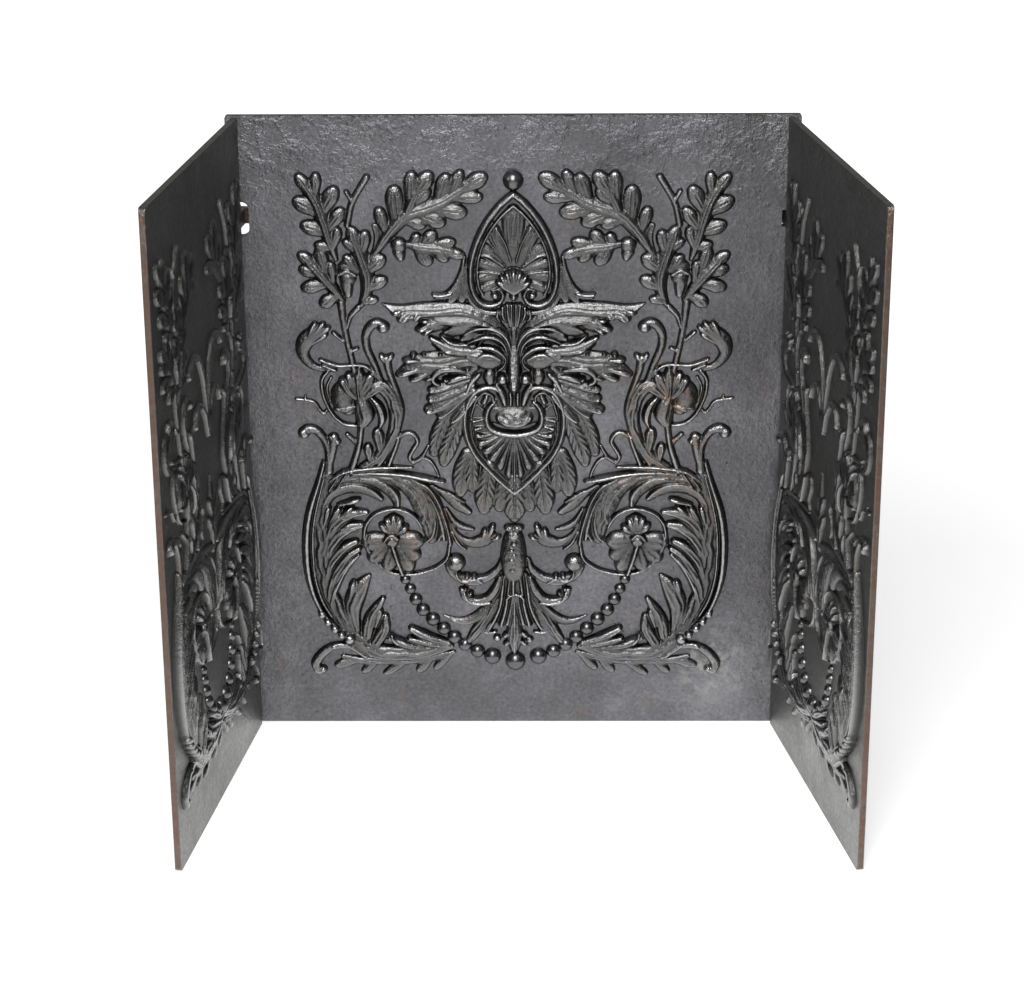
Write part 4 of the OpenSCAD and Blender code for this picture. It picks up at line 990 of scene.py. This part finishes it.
def iron(name, stops, rough, grain, rust, worn_and_shaded=False, rims=None, stains=()):
    """Black-leaded cast iron. stops colours it from its dullest to its shiniest places and
    rough gives the roughness there. A plate goes by noise alone; an ornament by how far
    each point stands out, so its hollows get painted shade, dull and dark, and its tops are
    painted lighter, partly rubbed polish and partly painted highlight. The sand of the mould
    stays as a fine bump, and a little rust comes through in patches. rims is the share of
    rust on a plate's front edges, and None is for what isn't a plate."""
    material, tree = new_material(name)
    where = add(tree, "ShaderNodeTexCoord").outputs["Object"]
    fine = noise(tree, where, *FINE)
    heights = combine(tree, "MULTIPLY_ADD", noise(tree, where, *SAND), 0.4, fine)
    if worn_and_shaded:
        # The attribute holds rubbed wear mixed with painted shade in the hollows and painted
        # highlight on the tops.
        wear_and_shade = add(tree, "ShaderNodeAttribute", attribute_name="wear_and_shade").outputs["Fac"]
        uneven_wear = combine(tree, "MULTIPLY_ADD", fine, 0.3, -0.15)
        level = ranged(tree, combine(tree, "ADD", wear_and_shade, uneven_wear), 0.2, 1.2)
    else:
        spread = combine(tree, "MULTIPLY_ADD", noise(tree, where, *SLOW), 0.6,
                         combine(tree, "MULTIPLY", fine, 0.4))
        level = ranged(tree, spread, 0.36, 0.64)
    patches = ranged(tree, noise(tree, where, *RUST_PATCHES), 0.6, 0.78, 0.0, rust)
    colour = mixed(tree, patches, ramp(tree, level, stops), RUST)
    if rims is not None:
        heights = plate_heights(tree, where, heights)
        colour = edge_rust(tree, where, colour, rims)
    for stain in stains:
        colour = stained(tree, where, colour, *stain)
    gloss = ranged(tree, level, 0.0, 1.0, rough[1], rough[0])
    bump = add(tree, "ShaderNodeBump", {"Strength": 1.0, "Distance": grain, "Height": heights})
    shader = add(tree, "ShaderNodeBsdfPrincipled", {
        "Metallic": 1.0, "Base Color": colour, "Roughness": gloss,
        "Normal": bump.outputs["Normal"]})
    add(tree, "ShaderNodeOutputMaterial", {"Surface": shader.outputs[0]})
    return material


# ------------------------------------------------------------------ pieces
HAIR = 1e-6  # mm over the underside that counts
# Reaches of the painted shade in hollows and the painted highlight on tops, which also stand for
# rubbed wear.
WEAR_AND_SHADE = ((2.4, 5), (8.0, 22))  # mm round a point, mm that it stands above them when bright
SAME_POINT = 1e-5  # mm


def blurred(h, radius):
    """The map averaged over a square of 2 * radius + 1 points, twice, by running sums."""
    n = 2 * radius + 1
    for axis in (0, 1, 0, 1):
        pad = [(0, 0), (0, 0)]
        pad[axis] = (radius + 1, radius)
        total = np.cumsum(np.pad(h, pad, mode="edge"), axis)
        if axis == 0:
            h = (total[n:] - total[:-n]) / n
        else:
            h = (total[:, n:] - total[:, :-n]) / n
    return h


def cast(relief):
    """Softens the map as casting softens a carved pattern."""
    h = relief.h
    soft = 0.5 * h + 0.25 * (np.roll(h, 1, 0) + np.roll(h, -1, 0))
    soft = 0.5 * soft + 0.25 * (np.roll(soft, 1, 1) + np.roll(soft, -1, 1))
    return np.maximum(soft, SUNK)


def any_of_four(grid):
    """True where one of the four that meet there is true."""
    return grid[:-1, :-1] | grid[1:, :-1] | grid[:-1, 1:] | grid[1:, 1:]


def kept_cells(h):
    """The grid cells with a corner above the underside, but none at the window's edge."""
    kept = any_of_four(h > SUNK + HAIR)
    kept[0], kept[-1], kept[:, 0], kept[:, -1] = False, False, False, False
    return kept


def cell_corners(kept, used):
    """The numbers of each kept cell's four corners among the used points."""
    number = np.full(used.shape, -1)
    number[used] = np.arange(used.sum())
    return np.stack([number[:-1, :-1][kept], number[1:, :-1][kept],
                     number[1:, 1:][kept], number[:-1, 1:][kept]], 1)


def rim_edges(kept, quads):
    """The edges of kept cells that have no kept cell on their other side."""
    grown = np.pad(kept, 1)
    rows, columns = kept.shape
    rims = []
    for i, j, ends in ((0, 1, [0, 3]), (2, 1, [1, 2]), (1, 0, [0, 1]), (1, 2, [3, 2])):
        near = grown[i:i + rows, j:j + columns]
        rims.append(quads[~near[kept]][:, ends])
    return np.vstack(rims)


def underside(relief, kept, used, rims):
    """Triangles that close the sunken underside, between the edges of the kept cells."""
    edge_points, local = np.unique(rims, return_inverse=True)
    flat = np.stack([relief.x[used], relief.z[used]], 1)[edge_points]
    coords, _, faces, source, _, _ = delaunay_2d_cdt(
        [Vector(p) for p in flat.tolist()], local.reshape(-1, 2).tolist(), [], 1, SAME_POINT)
    tris = np.array([f for f in faces if len(f) == 3], int)
    middle = np.array([c[:] for c in coords])[tris].mean(1)
    i = np.floor((middle[:, 0] - relief.xs[0]) / relief.step).astype(int)
    j = np.floor((middle[:, 1] - relief.zs[0]) / relief.step).astype(int)
    back = np.array([s[0] for s in source])
    return edge_points[back[tris[kept[i, j]]]]


def wear_and_shade_of(h, step):
    """How rubbed and how lit each point is painted, from 0 to 1: 0.5, and the height it stands
    above its surroundings, near and wide, as a share of the height that makes it bright. Low
    points get painted shade, as in hollows the light doesn't reach, and high points a painted
    highlight on top of their rubbed polish."""
    above = np.maximum(h, 0)
    wear_and_shade = 0.5
    for reach, bright in WEAR_AND_SHADE:
        wear_and_shade = wear_and_shade + (above - blurred(above, round(reach / step))) / bright
    return np.clip(wear_and_shade, 0, 1)


def mirrors(place):
    """Whether a placing turns x, z and height into their mirror image."""
    return np.linalg.det(place(*np.eye(3)) - place(*np.zeros((3, 1)))) < 0


def smooth_mesh(name, places, faces):
    """A smooth mesh. faces has one whole array for each number of corners."""
    mesh = bpy.data.meshes.new(name)
    mesh.vertices.add(len(places))
    mesh.vertices.foreach_set("co", places.astype(np.float32).ravel())
    loops = np.concatenate([f.ravel() for f in faces])
    sizes = np.concatenate([np.full(len(f), f.shape[1]) for f in faces])
    mesh.loops.add(len(loops))
    mesh.loops.foreach_set("vertex_index", loops)
    mesh.polygons.add(len(sizes))
    mesh.polygons.foreach_set("loop_start", np.concatenate([[0], np.cumsum(sizes)[:-1]]))
    mesh.update(calc_edges=True)
    mesh.polygons.foreach_set("use_smooth", np.ones(len(sizes), bool))
    return mesh


def relief_object(relief, place, body, node, material, share=1.0):
    """One ornament: the grid cells that stand above the underside, placed on its plate,
    and closed below. share is for a shallower relief."""
    h = cast(relief)
    kept = kept_cells(h)
    used = any_of_four(np.pad(kept, 1))
    quads = cell_corners(kept, used)
    tris = underside(relief, kept, used, rim_edges(kept, quads))
    places = place(relief.x[used], relief.z[used], h[used] * share)
    faces = [quads[:, ::-1], tris] if mirrors(place) else [quads, tris[:, ::-1]]
    name = f"{node}_cast"
    mesh = smooth_mesh(name, places, faces)
    # Rubbed wear together with painted shade in hollows and painted highlight on tops.
    mesh.attributes.new("wear_and_shade", "FLOAT", "POINT").data.foreach_set(
        "value", wear_and_shade_of(h, relief.step)[used].astype(np.float32))
    mesh.materials.append(material)
    piece = linked(name, mesh)
    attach(piece, body)
    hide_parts(node)
    return piece


# ------------------------------------------------------------------ places
PLATE_LOW, PLATE_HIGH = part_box("back_plate")
FIRE_SIDE = PLATE_LOW.y  # the back plate's front face
DRAWN_HEIGHT, DRAWN_FOOT = 0.598, 0.057  # m, of the drawing's ornament
CHEEK_SHIFT = 72.0  # mm that a half moves inwards
CHEEK_SHARE = 0.85  # of the back's relief height
CHEEK_MIDDLE = 0.1725  # m from a cheek's pivot line
CHEEK_FACE = 0.0035  # m, half of a cheek's thickness
CHEEK_GRID = 1.0  # mm
PIVOT_Y = -0.0088
PIVOT_X = {"left": -0.2947, "right": 0.2947}
TURN = {"left": math.radians(81.5), "right": math.radians(-79.5)}


def centred(plate_top):
    """How far the drawing's ornament is lifted to lie in the middle of a plate's height."""
    return (plate_top - DRAWN_HEIGHT) / 2 - DRAWN_FOOT


LIFT = centred(PLATE_HIGH.z)
CHEEK_LIFT = centred(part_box("left_cheek_plate")[1].z)


def on_back(hand):
    """Places drawing x, z and height on the back plate; hand is -1 for the mirror side."""
    def place(x, z, h):
        return np.stack([hand * x * MM, FIRE_SIDE - h * MM, z * MM + LIFT], 1)
    return place


def on_cheek(side, hand):
    """Places them on a cheek's inner face, turned about the cheek's rear edge."""
    sign = -1 if side == "left" else 1
    c, s = math.cos(TURN[side]), math.sin(TURN[side])

    def place(x, z, h):
        u = sign * CHEEK_MIDDLE + hand * (x + CHEEK_SHIFT) * MM
        v = -CHEEK_FACE - h * MM
        return np.stack([PIVOT_X[side] + c * u - s * v, PIVOT_Y + s * u + c * v,
                         z * MM + CHEEK_LIFT], 1)
    return place


def at_cheek_middle(side):
    """Places a motif that sits astride a cheek's middle."""
    place = on_cheek(side, 1)
    return lambda x, z, h: place(x - CHEEK_SHIFT, z, h)


# ------------------------------------------------------------------ ornaments
HALF_WINDOW = (-250, 20, 50, 662)  # mm, x then z
HALVES = {"oak_branch": oak, "vine": vine, "scroll": scroll, "rosette": rosette,
          "foot_leaf": foot_leaf, "mask_leaves": mask_leaves}
CHEEK_HALVES = ("oak_branch", "vine", "scroll", "rosette", "foot_leaf")
SHORTER = ("oak_branch", "vine", "scroll")  # without their arms to the right
MIDDLES = {"crest": (crest, (-100, 100, 465, 640)), "mask": (mask, (-60, 60, 340, 480)),
           "beard_frame": (beard_frame, (-70, 70, 270, 425)),
           "beard_leaves": (beard_leaves, (-105, 105, 240, 400)),
           "pendant": (pendant, (-95, 95, 75, 255))}
TENDRIL_WINDOW = (-80, 80, 280, 530)
UNEVENNESS = 0.06
HALF_SEED, MIDDLE_SEED = 4, 9


def drawn(motif, window, seed, step=GRID, **options):
    """A motif's height map, with the unevenness of a casting."""
    relief = Relief(*window, step)
    motif(relief, **options)
    uneven(relief, UNEVENNESS, seed)
    return relief


def cut_at_middle(relief):
    """Leaves out what would reach past the middle of a cheek."""
    relief.h = np.where(relief.x > -CHEEK_SHIFT, SUNK, relief.h)


def back_ornaments(material):
    """Each half of the drawing and its mirror image, then what sits astride the middle."""
    made = []
    for motif, draw in HALVES.items():
        relief = drawn(draw, HALF_WINDOW, HALF_SEED)
        for side, hand in (("left", 1), ("right", -1)):
            made.append(relief_object(relief, on_back(hand), "back", f"back_{side}_{motif}",
                                      material))
    for node, (draw, window) in MIDDLES.items():
        relief = drawn(draw, window, MIDDLE_SEED)
        made.append(relief_object(relief, on_back(1), "back", node, material))
    return made


def cheek_ornaments(material):
    """The back's halves again, moved in, and cut and mirrored at each cheek's middle."""
    made = []
    for motif in CHEEK_HALVES:
        options = {"whole": False} if motif in SHORTER else {}
        relief = drawn(HALVES[motif], HALF_WINDOW, HALF_SEED, CHEEK_GRID, **options)
        cut_at_middle(relief)
        for side in ("left", "right"):
            for end in ("front", "rear"):
                hand = 1 if (side == "left") == (end == "front") else -1
                made.append(relief_object(relief, on_cheek(side, hand), f"{side}_cheek",
                                          f"{side}_cheek_{end}_{motif}", material,
                                          CHEEK_SHARE))
    relief = drawn(tendrils, TENDRIL_WINDOW, MIDDLE_SEED, CHEEK_GRID)
    for side in ("left", "right"):
        made.append(relief_object(relief, at_cheek_middle(side), f"{side}_cheek",
                                  f"{side}_cheek_tendrils", material, CHEEK_SHARE))
    return made


# ------------------------------------------------------------------ the object
set_camera()
set_floor()
set_world()
set_lamps()
# Place, reach, colour and share of each stain.
FOOT_STAIN = ((0.225, -0.005, 0.07), 0.055, PALE, 0.75)
SIDE_STAIN = ((-0.24, -0.005, 0.4), 0.05, BRIGHT_RUST, 0.16)
VINE_STAIN = ((0.2, -0.01, 0.36), 0.13, BRIGHT_RUST, 0.45)
SCROLL_STAIN = ((-0.09, -0.01, 0.22), 0.12, BRIGHT_RUST, 0.25)
PLATE = iron("back_plate_iron",
             [(0, (0.09, 0.09, 0.096)), (0.5, (0.13, 0.13, 0.138)), (1, (0.19, 0.19, 0.201))],
             (0.34, 0.48), 0.0006, 0.5, rims=0.0, stains=(FOOT_STAIN, SIDE_STAIN))
# The ornament ramp runs from painted shade in the hollows to painted highlight and rubbed polish
# on the tops.
ORNAMENT = iron("back_ornament_iron",
                [(0, (0.056, 0.056, 0.055)), (0.38, (0.108, 0.108, 0.107)),
                 (0.65, (0.19, 0.19, 0.19)), (1, (0.5, 0.5, 0.5))],
                (0.13, 0.27), 0.0008, 0.4, worn_and_shaded=True,
                stains=(FOOT_STAIN, VINE_STAIN, SCROLL_STAIN))
CHEEK = iron("cheek_plate_iron",
             [(0, (0.09, 0.09, 0.086)), (0.5, (0.13, 0.13, 0.125)), (1, (0.18, 0.18, 0.174))],
             (0.34, 0.5), 0.0006, 0.7, rims=1.0)
# Likewise from painted shade in the hollows to painted highlight and rubbed polish on the tops.
CHEEK_ORNAMENT = iron("cheek_ornament_iron",
                      [(0, (0.045, 0.045, 0.044)), (0.4, (0.1, 0.1, 0.098)),
                       (1, (0.3, 0.3, 0.296))], (0.14, 0.28), 0.0008, 0.5, worn_and_shaded=True)
BEAD = iron("bead_iron",
            [(0, (0.09, 0.09, 0.09)), (0.5, (0.12, 0.12, 0.12)), (1, (0.16, 0.16, 0.16))],
            (0.2, 0.3), 0.0002, 0.4)
for name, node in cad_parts.items():
    node.data.materials.clear()
    if name == "back_plate":
        node.data.materials.append(PLATE)
    elif name.endswith("_plate"):
        node.data.materials.append(CHEEK)
    else:
        node.data.materials.append(BEAD)
PIECES = back_ornaments(ORNAMENT) + cheek_ornaments(CHEEK_ORNAMENT)
